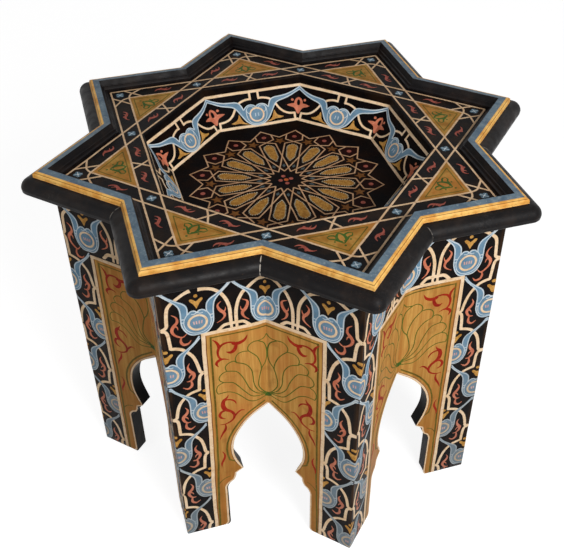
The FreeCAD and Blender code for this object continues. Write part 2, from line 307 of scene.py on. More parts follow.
class Finish:
    """A material under construction. Each call adds a node and gives back its output."""

    def __init__(self, name):
        self.material = bpy.data.materials.new(name)
        self.material.use_nodes = True
        self.tree = self.material.node_tree
        self.shader = self.tree.nodes["Principled BSDF"]
        self.place = self.add("TexCoord").outputs["Object"]
        self.x, self.y, self.z = self.add("SeparateXYZ", {0: self.place}).outputs

    def add(self, kind, inputs=()):
        return fill(self.tree.nodes.new("ShaderNode" + kind), inputs)

    def count(self, operation, *values):
        node = self.add("Math")
        node.operation = operation
        return fill(node, enumerate(values)).outputs[0]

    def times(self, first, second):
        return self.count("MULTIPLY", first, second)

    def between(self, value, low, high, start=0.0, end=1.0):
        """Runs smoothly from start to end as the value goes from low to high."""
        node = self.add("MapRange", enumerate((value, low, high, start, end)))
        node.interpolation_type = "SMOOTHSTEP"
        return node.outputs[0]

    def noise(self, scale, detail=4.0, stretch=(1, 1, 1)):
        place = self.add("Mapping", {"Vector": self.place, "Scale": stretch}).outputs[0]
        inputs = {"Vector": place, "Scale": scale, "Detail": detail, "Roughness": NOISE_ROUGHNESS}
        return self.add("TexNoise", inputs).outputs["Fac"]

    def patches(self, scale, detail, *levels):
        """Noise that runs between two levels, as soft patches."""
        return self.between(self.noise(scale, detail), *levels)

    def blend(self, factor, first, second):
        node = self.add("Mix")
        node.data_type = "RGBA"
        return fill(node, {0: factor, 6: first, 7: second}).outputs[2]

    def edge(self, radius):
        """One on sharp edges, zero on flat faces."""
        bevel = self.add("Bevel", {"Radius": radius}).outputs[0]
        dot = self.add("VectorMath", {0: bevel, 1: self.add("NewGeometry").outputs["Normal"]})
        dot.operation = "DOT_PRODUCT"
        return self.between(self.count("SUBTRACT", 1.0, dot.outputs["Value"]), *EDGE_LEVELS)

    def bump(self, height, strength, distance):
        node = self.add("Bump", {"Height": height, "Strength": strength, "Distance": distance})
        fill(self.shader, {"Normal": node.outputs[0]})

    def done(self, colour, roughness, gloss=0.2):
        fill(self.shader, {"Base Color": colour, "Roughness": roughness, "Specular IOR Level": gloss})
        return self.material

    def along(self, way):
        """Distance from the axis along a level direction, to either side."""
        across = self.times(self.x, way.x)
        return self.count("ABSOLUTE", self.count("MULTIPLY_ADD", self.y, way.y, across))

    def star_reach(self):
        """How far out a place lies, measured squarely to the nearest straight side of the star."""
        sides = []
        for angle in (HALF_STEP, HALF_STEP + 90, HALF_STEP + 45, HALF_STEP + 135):
            sides.append(self.along(direction(angle)))
        squares = (self.count("MAXIMUM", sides[0], sides[1]), self.count("MAXIMUM", sides[2], sides[3]))
        return self.count("MINIMUM", *squares)

    def from_planes(self, first_angle):
        """Distance from the nearest of the upright planes through the axis, 45 degrees apart."""
        nearest = None
        for step in range(4):
            gap = self.along(sideways(first_angle + STAR_STEP * step))
            nearest = gap if nearest is None else self.count("MINIMUM", nearest, gap)
        return nearest


BLACK = shade(9, 7, 8)
BLACK_WARM = shade(27, 18, 13)
SCUFF = shade(92, 88, 88)
WORN_WOOD = shade(108, 74, 42)
# Pale colour of the cracks at the rim's mitres, partly a painted highlight along the joint
PALE_CRACK_AND_HIGHLIGHT = shade(205, 196, 184)
BARE_TONES = (shade(140, 102, 66), shade(92, 62, 38))
# How far wear goes from the points and the feet, the heights over which painted shade greys the paint and
# the panels turn browner, partly as painted shade, towards the feet, and the size of chips, in metres
POINT_WEAR = (0.0006, 0.0052)
FOOT_WEAR = (0.001, 0.014)
LOW_SHADE_HEIGHTS = (0.04, 0.34)
BROWN_AND_SHADE_HEIGHTS = (0.06, 0.27)
CHIP_SIZE = 0.0016
# Between which levels of the noise the brush marks change the sheen
BRUSH_LEVELS = (0.3, 0.7)


def black_ground(f, warm=BLACK_WARM):
    """Black paint with brown showing through here and there, and a fine grain of dust and pinholes."""
    colour = f.blend(f.patches(42, 6, 0.42, 0.72), BLACK, warm)
    return f.blend(f.patches(950, 2, 0.64, 0.8, 0, 0.4), colour, WORN_WOOD)


def wood_grain(f, light, dark, stretch):
    """Bare or varnished wood: broad bands, fine lines along the grain and small pores."""
    bands = f.between(f.noise(1.0, 3, stretch), 0.35, 0.65)
    fine = f.between(f.noise(1.0, 5, tuple(5 * s for s in stretch)), 0.40, 0.68, 0, 0.55)
    colour = f.blend(bands, light, dark)
    return f.blend(fine, colour, dark), fine


UPRIGHT_GRAIN = (150, 150, 7)
LEVEL_GRAIN = (26, 26, 160)


def bare_wood():
    """The unpainted blocks inside."""
    f = Finish("stained_inside")
    colour, fine = wood_grain(f, shade(150, 112, 74), shade(104, 72, 44), UPRIGHT_GRAIN)
    f.bump(fine, 0.25, 0.0006)
    return f.done(colour, f.between(fine, 0, 1, 0.62, 0.8))


def board_finish():
    """Black outside and in the arches, brown and worn on the points, bare wood inside."""
    f = Finish("board_black")
    star = f.star_reach()
    outside = f.between(star, (BOARD_FACE - 1.2) * MM, (BOARD_FACE - 0.8) * MM)
    inside = f.between(star, (BOARD_INSIDE + 0.2) * MM, (BOARD_INSIDE + 0.6) * MM, 1, 0)
    paint = black_ground(f)
    at_point = f.between(f.from_planes(HALF_STEP), *POINT_WEAR, 1, 0)
    streaks = f.between(f.noise(1.0, 4, (260, 260, 22)), 0.36, 0.60)
    worn = f.times(f.times(at_point, streaks), outside)
    paint = f.blend(f.times(worn, 0.22), paint, WORN_WOOD)
    foot = f.times(f.between(f.z, *FOOT_WEAR, 1, 0), f.patches(130, 4, 0.42, 0.6))
    paint = f.blend(f.times(foot, 0.6), paint, SCUFF)
    wood, fine = wood_grain(f, *BARE_TONES, UPRIGHT_GRAIN)
    colour = f.blend(inside, paint, wood)
    brush = f.noise(1.0, 4, (420, 420, 60))
    f.bump(f.blend(inside, brush, fine), 0.22, 0.0005)
    return f.done(colour, f.between(brush, *BRUSH_LEVELS, 0.36, 0.52), gloss=0.045)


# Rim, in metres: how far out each colour starts, how softly it does, and the level over which the band
# and the bead are painted. The pale cracks at the points, partly a painted highlight, are stronger in front.
BLUE_START = 0.2056
BEAD_START = 0.2137
BEAD_END = 0.2185
BEAD_LINE = (0.2165, 0.2171)
LIP_START = 0.2186
SOFT_EDGE = 0.0003
UPPER_LEVEL = (0.4705, 0.4712)
CRACK_AND_HIGHLIGHT_HALF = (0.0003, 0.0007)
IN_FRONT = (-0.16, -0.1)


def rim_finish():
    """Black lip and steps, a blue band and a gold bead, each found by how far out it lies."""
    f = Finish("rim_bands")
    star = f.star_reach()

    def beyond(start, before=0, after=1):
        return f.between(star, start, start + SOFT_EDGE, before, after)

    upper = f.between(f.z, *UPPER_LEVEL)
    grime = f.patches(70, 5, 0.38, 0.68)
    streak = f.noise(310, 3)
    black = black_ground(f, shade(30, 23, 20))
    scuffs = f.times(f.patches(24, 6, 0.5, 0.72), f.patches(420, 3, 0.45, 0.7))
    black = f.blend(f.times(scuffs, 0.12), black, SCUFF)
    blue = f.blend(grime, shade(98, 116, 128), shade(76, 94, 110))
    blue = f.blend(f.between(streak, 0.5, 0.75, 0, 0.6), blue, shade(140, 150, 154))
    gold = f.blend(grime, shade(240, 190, 106), shade(212, 148, 66))
    gold = f.blend(f.between(streak, 0.52, 0.75, 0, 0.45), gold, shade(166, 100, 36))
    in_line = f.times(beyond(BEAD_LINE[0]), beyond(BEAD_LINE[1], 1, 0))
    gold = f.blend(f.times(in_line, 0.8), gold, shade(104, 62, 20))
    in_blue = f.times(beyond(BLUE_START), upper)
    in_gold = f.times(beyond(BEAD_START), beyond(BEAD_END, 1, 0))
    colour = f.blend(in_blue, black, blue)
    colour = f.blend(f.times(in_gold, upper), colour, gold)
    on_lip = beyond(LIP_START)
    colour = f.blend(on_lip, colour, black)
    # Pale line at the mitres of the lip: a crack in the paint with a painted highlight along the joint.
    crack_and_highlight = f.between(f.from_planes(0), *CRACK_AND_HIGHLIGHT_HALF, 1, 0)
    broken = f.patches(160, 3, 0.40, 0.52)
    crack_and_highlight = f.times(f.times(crack_and_highlight, broken), on_lip)
    in_front = f.between(f.count("ADD", f.y, f.count("ABSOLUTE", f.x)), *IN_FRONT, 1, 0)
    crack_and_highlight = f.times(crack_and_highlight, f.between(in_front, 0, 1, 0.25, 0.75))
    colour = f.blend(crack_and_highlight, colour, PALE_CRACK_AND_HIGHLIGHT)
    chips = f.times(f.edge(CHIP_SIZE), f.patches(240, 4, 0.60, 0.66))
    colour = f.blend(f.times(chips, 0.55), colour, WORN_WOOD)
    brush = f.noise(260, 5)
    f.bump(brush, 0.18, 0.0006)
    return f.done(colour, f.patches(90, 4, 0.3, 0.7, 0.36, 0.58), gloss=0.12)


def panel_finish():
    """Black top with a fine brown grain; bare underneath."""
    f = Finish("panel_black")
    paint = black_ground(f, shade(32, 21, 13))
    wood, fine = wood_grain(f, *BARE_TONES, LEVEL_GRAIN)
    under = f.between(f.z, (BOARD_TOP + 0.1) * MM, (BOARD_TOP + 0.4) * MM, 1, 0)
    brush = f.noise(330, 5)
    f.bump(f.blend(under, brush, fine), 0.2, 0.0005)
    return f.done(f.blend(under, paint, wood), f.between(brush, *BRUSH_LEVELS, 0.38, 0.54), gloss=0.045)


def well_finish():
    """Black on the boards and the floor of the well."""
    f = Finish("well_black")
    brush = f.noise(330, 5)
    f.bump(brush, 0.2, 0.0005)
    colour = black_ground(f, shade(24, 12, 7))
    return f.done(colour, f.between(brush, *BRUSH_LEVELS, 0.38, 0.54), gloss=0.015)


def screw_finish():
    f = Finish("screw_steel")
    tarnish = f.noise(900, 4)
    colour = f.blend(f.between(tarnish, 0.4, 0.7), shade(150, 148, 142), shade(96, 84, 70))
    f.shader.inputs["Metallic"].default_value = 1.0
    f.bump(tarnish, 0.15, 0.0002)
    return f.done(colour, f.between(tarnish, 0.3, 0.7, 0.3, 0.55))


def varnished_panel(name, light, dark, stretch, browner_and_shaded_low=False):
    """Ochre panel with the grain showing through the varnish, on the boards browner towards the feet, partly
    as painted shade.
    """
    f = Finish(name)
    colour, fine = wood_grain(f, shade(*light), shade(*dark), stretch)
    # Partly painted shade: on the boards the panel turns browner and darker towards the feet, where the
    # light falls off.
    if browner_and_shaded_low:
        colour = f.blend(f.between(f.z, *BROWN_AND_SHADE_HEIGHTS, 0.55, 0), colour, shade(146, 88, 34))
    warm = f.patches(17, 4, 0.45, 0.72, 0, 0.55)
    colour = f.blend(warm, colour, shade(190, 118, 58))
    grime = f.patches(60, 5, 0.55, 0.75, 0, 0.35)
    colour = f.blend(grime, colour, shade(128, 88, 40))
    f.bump(fine, 0.12, 0.0003)
    return f.done(colour, f.between(fine, 0, 1, 0.34, 0.48), gloss=0.03)


def paint(name, light, middle, dark, patch=60, show=0.3, shade_low=0.0, gloss=0.06):
    """Hand paint: patches of three tones, fine brush lines and pinholes, greyed by painted shade towards the
    feet.
    """
    f = Finish(name + "_paint")
    colour = f.blend(f.patches(patch, 4, 0.36, 0.64), shade(*light), shade(*middle))
    colour = f.blend(f.patches(patch * 4, 4, 0.50, 0.72, 0, 0.7), colour, shade(*dark))
    # Painted shade: the colour turns grey towards the feet, where the light falls off.
    if shade_low:
        colour = f.blend(f.between(f.z, *LOW_SHADE_HEIGHTS, shade_low, 0), colour, shade(118, 118, 114))
    pinholes = f.patches(1100, 2, 0.64, 0.76, 0, show)
    colour = f.blend(pinholes, colour, BLACK_WARM)
    brush = f.noise(700, 3)
    f.bump(brush, 0.2, 0.0003)
    return f.done(colour, f.between(brush, *BRUSH_LEVELS, 0.36, 0.52), gloss)


CREAM = paint("cream", (242, 214, 180), (232, 200, 160), (212, 172, 130), show=0.12)
BLUE = paint("blue", (112, 146, 170), (94, 128, 152), (134, 146, 152), 75, 0.4, 0.6)
PALE = paint("pale_blue", (206, 214, 218), (180, 196, 206), (214, 210, 204), 60, 0.3, 0.5)
FLOWER = paint("flower_blue", (96, 122, 138), (76, 100, 116), (112, 120, 122), 160, 0.4)
BUD_RING = paint("bud_ring", (240, 212, 178), (228, 196, 158), (206, 168, 130), 60, 0.2, 0.5)
SALMON = paint("salmon", (208, 124, 94), (190, 106, 78), (222, 150, 120), 90, 0.45, 0.2)
SPOT = paint("spot", (168, 90, 76), (140, 66, 54), (186, 116, 100), 160, 0.4)
BLUSH = paint("blush", (214, 176, 166), (196, 140, 130), (222, 200, 190), patch=90)
OCHRE = paint("ochre", (204, 154, 82), (180, 128, 58), (146, 104, 52), 120, 0.4)
RED = paint("red", (158, 38, 20), (136, 26, 14), (180, 60, 34), show=0.1)
GREEN = paint("green", (90, 100, 34), (74, 86, 24), (118, 112, 48), show=0.1)
LEAF = paint("leaf_green", (62, 92, 32), (50, 76, 24), (92, 104, 46), show=0.2)
OLIVE = paint("olive", (104, 92, 30), (88, 74, 20), (128, 102, 42), show=0.05)
UMBER_LINE = paint("umber_line", (138, 86, 38), (118, 68, 28), (154, 102, 48), show=0.1)
UMBER = paint("umber", (22, 10, 5), (14, 6, 4), (36, 19, 9), show=0.5, gloss=0.015)
OXBLOOD = paint("oxblood", (32, 10, 7), (22, 7, 6), (46, 19, 12), show=0.5, gloss=0.015)
SAND = paint("sand", (204, 164, 126), (184, 142, 104), (154, 114, 84), show=0.2)
SILVER = paint("silver", (182, 178, 158), (156, 156, 142), (124, 120, 100), show=0.3)
BRONZE = paint("bronze", (126, 80, 32), (104, 60, 22), (84, 46, 16), 160, 0.5)
PETROL = paint("petrol", (74, 92, 98), (54, 68, 74), (112, 96, 76), 160, 0.5)
PETAL = paint("petal", (184, 136, 64), (152, 102, 38), (88, 64, 28), 300, 0.8)
BAND_LINE = paint("band_line", (222, 190, 154), (206, 170, 132), (176, 138, 104), show=0.25)
EMBER = paint("ember", (196, 96, 42), (174, 78, 32), (156, 88, 60), 160, 0.4)

BOARD_BLACK = board_finish()
RIM_BANDS = rim_finish()
PANEL_BLACK = panel_finish()
WELL_BLACK = well_finish()
BARE = bare_wood()
STEEL = screw_finish()
OCHRE_PANEL = varnished_panel("ochre_panel", (204, 156, 82), (176, 122, 58), UPRIGHT_GRAIN, True)
OCHRE_TRIANGLE = varnished_panel("ochre_triangle", (178, 136, 68), (150, 104, 42), (60, 60, 60))

FINISH_OF = {
    "side_board": BOARD_BLACK,
    "rim_moulding": RIM_BANDS,
    "top_panel": PANEL_BLACK,
    "well_wall": WELL_BLACK,
    "well_floor": WELL_BLACK,
    "corner_block": BARE,
    "block_screws": STEEL,
}
for name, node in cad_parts.items():
    for start, finish in FINISH_OF.items():
        if name.startswith(start):
            node.material_slots[0].material = finish

# The bud: a blue heart-shaped bud with two long wings. The drawings repeat it on a lattice.

BUD_ACROSS = 39.5
BUD_UP = 73.5
BUD_BODY = [(0, -17.8), (5, -18.0), (9.3, -16.8), (13.2, -13.4), (16.5, -7.8), (18.6, 0), (19.0, 9)]
WING_OUTER = [(19.0, 9), (19.2, 18), (20.6, 26), (24.4, 32.4), (30.5, 38.9), (36, 44.6), (40.2, 50)]
WING_INNER = [(38.6, 54), (33.5, 46.6), (27, 40.2), (20.3, 35), (14.4, 30.8), (10.9, 25.8), (9.9, 20),
              (10.2, 14.5)]
LOBE = [(10.2, 14.5), (7.9, 17.2), (5, 18.2), (1.9, 17.3), (0, 14.6)]
FOLD = [(10.2, 14.5), (12.8, 10.8), (14.8, 5.6), (15.2, 0), (13.8, -6.4), (10.6, -11), (5.8, -14.2),
        (0, -15.2)]
LOBE_BACK = [(0, 14.6), (-3.4, 12.6), (-6.4, 13.2)]
RING_OUTER = 11.6
RING_INNER = 8.9
OUTLINE = 1.5
FOLD_LINE = 1.1
MARK_ACROSS = (-4.2, -1.5, 1.4, 4.0)
MARK_HALF = 2.2


def bud_shapes():
    half = smooth(BUD_BODY)[:-1] + smooth(WING_OUTER) + smooth(WING_INNER)[:-1] + smooth(LOBE)
    return both([half])


def bud_outlines():
    inset = OUTLINE / 2
    edges = stroke([(x - inset * x / 20, y + inset * (y < 0)) for x, y in BUD_BODY], OUTLINE)
    edges += stroke([(x - inset, y) for x, y in WING_OUTER], OUTLINE)
    edges += stroke([(x + inset, y - inset) for x, y in WING_INNER], OUTLINE)
    edges += stroke([(x, y - inset) for x, y in LOBE], OUTLINE)
    edges += stroke(FOLD, FOLD_LINE) + stroke(LOBE_BACK, FOLD_LINE)
    for up in (3.2, 7.8):
        edges += line((14.4, up), (18.8, up + 0.6), OUTLINE, 1)
    return both(edges)


def bud_marks():
    """Short blush strokes in the middle of the ring."""
    return [shape for across in MARK_ACROSS
            for shape in line((across, -MARK_HALF), (across * 1.15, MARK_HALF), OUTLINE, 1)]


def heart_shapes():
    half = [(0, 19.8), (2, 24), (4.2, 28), (6.9, 30.8), (7.6, 33.6), (5.2, 34.4), (2.2, 32), (0, 30.2)]
    return both([smooth(half, 2)]) + [disc((0, 38), 2.3, 10)]


# Side boards. Across is measured from the inward corner and up from the floor.

BOARD_WIDTH = BOARD_FACE * (1 - TO_CORNER) - POINT_EASE
EDGE_WRAP = POINT_EASE * math.radians(STAR_STEP)
WRAP_CUTS = (0, BOARD_WIDTH, BOARD_WIDTH + EDGE_WRAP / 2, BOARD_WIDTH + EDGE_WRAP)
STRIP_LEFT = 72.6
STRIP_RIGHT = 77.1
STRIP_LOW = 361.8
STRIP_HIGH = 366.3
PANEL_LINE = 2.5
INSET_LINE = 2.4
LEVEL_LINE = 1.8
THIN_LINE = 1.3
FOOT_GAP = 0.3
UNDER_STRIP = 0.5
TOP_ZONE = window(0, WRAP_CUTS[-1], STRIP_HIGH - UNDER_STRIP, BOARD_TOP)
SIDE_ZONE = window(STRIP_RIGHT - UNDER_STRIP, WRAP_CUTS[-1], FOOT_GAP, STRIP_HIGH)
FROM_CORNER = (-1, 0, 0)
FROM_FOOT = (0, -1, -FOOT_GAP)
ROW_UP = 384.0
BUD_PLACES = [(0, ROW_UP), (2 * BUD_ACROSS, ROW_UP), (BUD_ACROSS, ROW_UP + BUD_UP),
              (3 * BUD_ACROSS, ROW_UP + BUD_UP)]
SIDE_PLACES = [((2 + row % 2) * BUD_ACROSS, ROW_UP - row * BUD_UP) for row in range(0, 7)]

LEFT_ARC = [(0, 429.5), (9, 429.2), (15.6, 425.9), (21.2, 420.9), (26.7, 416.4), (30, 410.9),
            (32.8, 404.2), (34.5, 396.5), (35.4, 388.5), (35.6, 371)]
RIGHT_ARC = [(76, 430.3), (68.8, 429.7), (62.2, 428.1), (56.7, 424.7), (52.2, 420.3), (48.9, 415.3),
             (45.6, 408.7), (43.3, 400.9), (42.2, 392), (41.7, 371)]
CORNER_ARC = [(84.4, 430.8), (91, 428.5), (97.7, 424.2), (103.2, 420.3), (108.8, 415.3), (111.5, 409.8),
              (112.6, 400.9), (113.2, 390.9), (113.9, 385.5), (118.5, 381)]
ARC_WIDTH = 4.0
ARC_END = 5.2
CARTOUCHE_MIDDLE = 98.75
CUSP_UP = 381.0
CUSP_SIDE = [(19.75, 0), (16, -3.4), (14.6, -9), (14, -18), (13.6, -29)]
CUSP_TURN = [(14.4, -28), (7, -29.6), (0.5, -32.5), (-5, -38), (-10.5, -46), (-13.8, -56), (-15.6, -66),
             (-16.6, -71), (-19.75, -73.5)]
CROWN_LINE = [(20.6, 365.4), (23.6, 368.6), (27.2, 372), (31, 372.8), (39, 372.9), (47.4, 372.8),
              (51.2, 371.4), (54.6, 368.2), (57.4, 365.4)]
CROWN_POSTS = [((35.5, 365.8), (35.4, 373)), ((41.7, 365.8), (41.7, 373))]
POST_WIDTH = 3.2


def arc_stroke(points):
    return stroke(points, [ARC_END] + [ARC_WIDTH] * (len(points) - 1))


def down_side(shapes, rows):
    """The shapes set down in rows of the narrow strip, turned over in every other row."""
    return [shape for row in rows
            for shape in moved(shapes, (CARTOUCHE_MIDDLE, CUSP_UP - row * BUD_UP), (-1) ** row)]


def on_board(top, side):
    """Trims a drawing's two parts to the field over the arch and to the narrow strip down the side."""
    return clipped(top, *TOP_ZONE) + clipped(side, *SIDE_ZONE)


def lattice_shapes():
    side = down_side(stroke(CUSP_SIDE, ARC_WIDTH) + stroke(CUSP_TURN, ARC_WIDTH), range(6))
    top = arc_stroke(LEFT_ARC) + arc_stroke(RIGHT_ARC) + arc_stroke(CORNER_ARC) + side
    top += stroke(CROWN_LINE, ARC_WIDTH)
    for low, high in CROWN_POSTS:
        top += line(low, high, POST_WIDTH, 2)
    return on_board(top, side)


def bud_lattice(shapes):
    top, side = ([shape for place in places for shape in moved(shapes, place)]
                 for places in (BUD_PLACES, SIDE_PLACES))
    return on_board(top + side, side)


LEAF_WIDTHS = [0.5, 1.9, 3.2, 4.0, 3.7, 2.6, 1.7, 0.6]
SPUR_WIDTHS = [2.4, 1.5, 0.4]
TOP_LEAVES = [
    ([(51.7, 408), (55.5, 403.6), (54.6, 398), (51.7, 393.6), (49.4, 391), (48.3, 386), (51.7, 381.2),
      (57.8, 377.6)], LEAF_WIDTHS),
    ([(50, 391.5), (47.4, 394.8), (46.8, 398.6)], SPUR_WIDTHS),
    ([(28.6, 405.5), (23.2, 402.3), (22, 397.6), (24.5, 390.6), (28, 386.4), (27.6, 381.6), (25.4, 377.6),
      (21, 373.6)], LEAF_WIDTHS),
    ([(26.4, 388.4), (29.6, 391.4), (30, 395.4)], SPUR_WIDTHS),
]
CORNER_LEAF = [
    ([(8.4, 20.5), (3.6, 15.8), (2.8, 9), (7.2, 3.4), (9.5, -2.3), (7, -9.2), (-1, -14.5), (-6.6, -10)],
     LEAF_WIDTHS),
    ([(6.4, 4.4), (3.2, 1.4), (2.6, -2.6)], SPUR_WIDTHS),
    ([(0.2, -14.5), (1.4, -20), (-1, -25), (-6.6, -25.2), (-10.4, -21)], [1.4, 2.9, 3.3, 2.4, 0.6]),
]
SIDE_LEAF = [
    ([(5.5, 18.8), (2.8, 13.3), (4.6, 7), (8.4, 2), (8.4, -3.4), (4.5, -9), (-0.5, -9.4)],
     [0.5, 2.3, 3.8, 4.2, 3.5, 2.4, 0.8]),
    ([(4.4, -9), (5.4, -14), (4.6, -19), (0, -22), (-5.5, -18.4)], [1.4, 2.9, 3.4, 2.5, 0.6]),
    ([(7.4, 2.4), (3.8, -0.2), (2.6, -3.6)], SPUR_WIDTHS),
]
# Red scrolls in the corner of the panel, beside the arch and on the leg
SCROLLS = [
    ([(23, 350.5), (26, 344.5), (31.5, 341), (37.5, 340.4), (42, 342)], [0.5, 3.4, 4.6, 5, 2]),
    ([(38, 342.6), (46, 344.4), (53, 342.8), (57.4, 337.5), (58.6, 330.5), (57.4, 323.5), (54, 319.6)],
     [2.1, 2.4, 3.1, 3.4, 2.8, 2.5, 2.2]),
    ([(36.6, 341), (37.4, 334.6), (40, 330), (44.2, 328.2), (48.6, 330.6)], [3.4, 4.4, 4.8, 3.8, 0.6]),
    ([(64, 353.4), (59.8, 348.6), (57.4, 342.6), (57.6, 336)], [0.5, 2.6, 3.6, 2]),
    ([(46, 317), (51, 319.4), (55.4, 319.6), (59.6, 317.4), (61.2, 313.6), (59, 308.6)],
     [0.5, 1.8, 3.4, 3.8, 3.2, 0.5]),
    ([(50, 258.5), (53, 253.5), (56.2, 250.4), (58, 245), (57.6, 238.6), (55, 233.4), (51, 230.4),
      (46.6, 226), (44.6, 220), (46.4, 214.4), (51, 210.4), (57, 208), (63.6, 208.6)],
     [0.5, 2.8, 4.6, 5.4, 5.8, 5.2, 4.2, 3.8, 3.4, 2.6, 2.2, 1.8, 0.6]),
    ([(56.4, 249.4), (51.6, 250.4), (46.6, 248.6), (43, 244.6), (41.8, 240.2)], [1.6, 2, 2.2, 2, 0.5]),
    ([(54.6, 232.4), (60.4, 231), (63, 225.6), (61, 220.2), (56, 217.6)], [3, 3.4, 3.6, 2.8, 0.6]),
    ([(31.4, 226.4), (36, 227.4), (40.4, 224), (44.4, 218.6)], [0.5, 2, 2.6, 2]),
    ([(57, 207.6), (56.6, 202), (58, 197), (61, 192), (63.5, 187), (65.4, 181)], [1, 2.6, 3.2, 2.8, 2, 0.5]),
    ([(63.6, 157), (61.4, 151.6), (61.4, 145.6), (63.6, 139.6), (66, 133.6), (66.2, 127)],
     [0.5, 2, 2.8, 3, 2.6, 0.6]),
]

PALMETTE_LINES = [
    [(0, 344.5), (3.4, 338.8), (10, 337.2), (15.6, 337.7), (21.2, 334.4), (23.4, 328.8), (22.3, 324.5)],
    [(10, 336.7), (3.4, 331.1), (0.7, 321.1), (0.7, 307.8), (3.4, 297.8), (7.9, 290.1), (11.8, 272.3),
     (11.8, 261.2), (5.7, 250.2), (0, 245.7)],
    [(22.3, 324.5), (28.9, 325.5), (35.6, 323.3), (38.9, 316.7), (37.8, 310)],
    [(22.3, 324.5), (13.4, 313.3), (9, 300), (7.9, 290.1)],
    [(37.8, 310), (41.1, 313.3), (47.8, 311.1), (51.7, 305.5), (50, 298.9)],
    [(37.8, 310), (27.8, 304.5), (21.2, 294.5), (19, 283.5), (17.8, 266.8), (11.2, 252.5), (0, 245.5)],
    [(50, 298.9), (55.5, 296.7), (59.4, 291.2), (58.9, 285.5), (54.4, 281.2)],
    [(50, 298.9), (38.9, 295.5), (32.3, 285.5), (27.8, 274.5), (23.4, 261.2), (14, 250.5), (0, 245.5)],
    [(54.4, 281.2), (61, 277.9), (63.9, 270.1), (62.2, 263.5)],
    [(54.4, 281.2), (43.3, 277.9), (35.6, 267.9), (27.8, 255.7), (19, 246.8), (0, 245.5)],
    [(62.2, 263.5), (51.1, 264), (41.1, 259), (33.4, 250.2), (25.6, 241.3), (16.7, 238.5), (2, 242.5)],
]
PALMETTE = strokes((points, THIN_LINE) for points in PALMETTE_LINES)
PALMETTE_BASE = [(0, 239.4), (2.2, 240.6), (5.2, 243.6), (2.6, 245.8), (0, 246.6)]


def leaf_shapes():
    corner = down_side(strokes(CORNER_LEAF), [0])
    side = corner + down_side(strokes(SIDE_LEAF), range(1, 6))
    return on_board(strokes(TOP_LEAVES) + corner, side)


def arch_edge():
    """The sawn outline of the arch on a board's face, from its peak down to the floor."""
    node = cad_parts["side_board_1_right"].data
    out, along = direction(FRONT_TURN), sideways(FRONT_TURN)
    places = {}
    flat = []
    for vertex in node.vertices:
        if vertex.co.dot(out) / MM > BOARD_FACE - 0.01:
            across = vertex.co.dot(along) / MM - BOARD_FACE * TO_CORNER
            places[vertex.index] = (round(across, 3), round(vertex.co.z / MM, 3))
    node.calc_loop_triangles()
    for triangle in node.loop_triangles:
        if all(index in places for index in triangle.vertices):
            flat.append([places[index] for index in triangle.vertices])
    ways = {(t[k], t[(k + 1) % 3]) for t in flat for k in range(3)}
    after = {a: b for a, b in ways if (b, a) not in ways}
    before = {b: a for a, b in after.items()}
    peak = min((p for p in after if abs(p[0]) < 0.5), key=lambda p: p[1])
    step = after if after[peak][1] < peak[1] else before
    edge = [peak]
    while edge[-1][1] > 0:
        edge.append(step[edge[-1]])
    return edge


ARCH = arch_edge()
TOOTH_UP = 121.0
ARCH_CREAM = (0.1, 2.9)
LEG_CREAM = (0.1, 2.1)
ARCH_DARK = (2.8, 3.6)
INSET_GAP = 8.0
INSET_END = [(45, 130), (41.5, 124.5), (40, 119)]
LOW_INSET = [(54, 103), (59.6, 101), (64.4, 96.6), (67.6, 91), (69.4, 84)]


def offset(points, gap):
    """The line moved to its left by a gap."""
    shifted = []
    for index, (x, y) in enumerate(points):
        before, after = points[max(index - 1, 0)], points[min(index + 1, len(points) - 1)]
        dx, dy = after[0] - before[0], after[1] - before[1]
        length = math.hypot(dx, dy)
        shifted.append((x - dy / length * gap, y + dx / length * gap))
    return shifted


def arch_band(near, far):
    """A line that follows the sawn edge of the arch, between two distances from it."""
    outer, inner = offset(ARCH, near), offset(ARCH, far)
    rows = [[a, b, d, c] for a, b, c, d in zip(outer, outer[1:], inner, inner[1:])]
    return clipped(rows, FROM_CORNER, FROM_FOOT, (1, 0, STRIP_LEFT))


def above_tooth(shapes):
    return clipped(shapes, (0, -1, -TOOTH_UP))


def arch_line_shapes():
    return above_tooth(arch_band(*ARCH_CREAM)) + clipped(arch_band(*LEG_CREAM), (0, 1, TOOTH_UP))


def frame_shapes():
    middle, level = (STRIP_LEFT + STRIP_RIGHT) / 2, (STRIP_LOW + STRIP_HIGH) / 2
    strip = line((middle, FOOT_GAP), (middle, STRIP_HIGH), STRIP_RIGHT - STRIP_LEFT, 24)
    return strip + line((0, level), (STRIP_RIGHT, level), STRIP_HIGH - STRIP_LOW, 8)


def panel_shapes():
    right, top = STRIP_LEFT + 1, STRIP_LOW + 1
    edge = [(x, max(y, FOOT_GAP)) for x, y in ARCH]
    return clipped([edge + [(right, FOOT_GAP), (right, top), (0, top)]], FROM_CORNER)


def panel_line_shapes():
    lines = line((66.4, 358), (67.4, 130), PANEL_LINE, 16)
    lines += line((67.4, 130), (70, FOOT_GAP), PANEL_LINE, 10)
    inset = [point for point in offset(ARCH, INSET_GAP) if point[1] > INSET_END[0][1] + 4]
    lines += stroke(inset[::2] + INSET_END, INSET_LINE, 1) + stroke(LOW_INSET, THIN_LINE)
    lines += line((0, 356.6), (66, 356.6), LEVEL_LINE)
    return clipped(lines, FROM_CORNER, FROM_FOOT)


def panel_shade_shapes():
    """A thin brown line beside the upright strip."""
    beside = STRIP_LEFT - THIN_LINE / 2
    return line((beside, FOOT_GAP), (beside, STRIP_LOW), THIN_LINE, 24)


BOARD_PLACES = []
for number in range(CORNERS):
    for hand in (1, -1):
        turn = FRONT_CORNER_ANGLE + STAR_STEP * number - HALF_STEP * hand
        out, along = direction(turn), sideways(turn) * hand
        origin = (out * BOARD_FACE + along * BOARD_FACE * TO_CORNER) * MM
        BOARD_PLACES.append((origin, along, UPRIGHT, out))

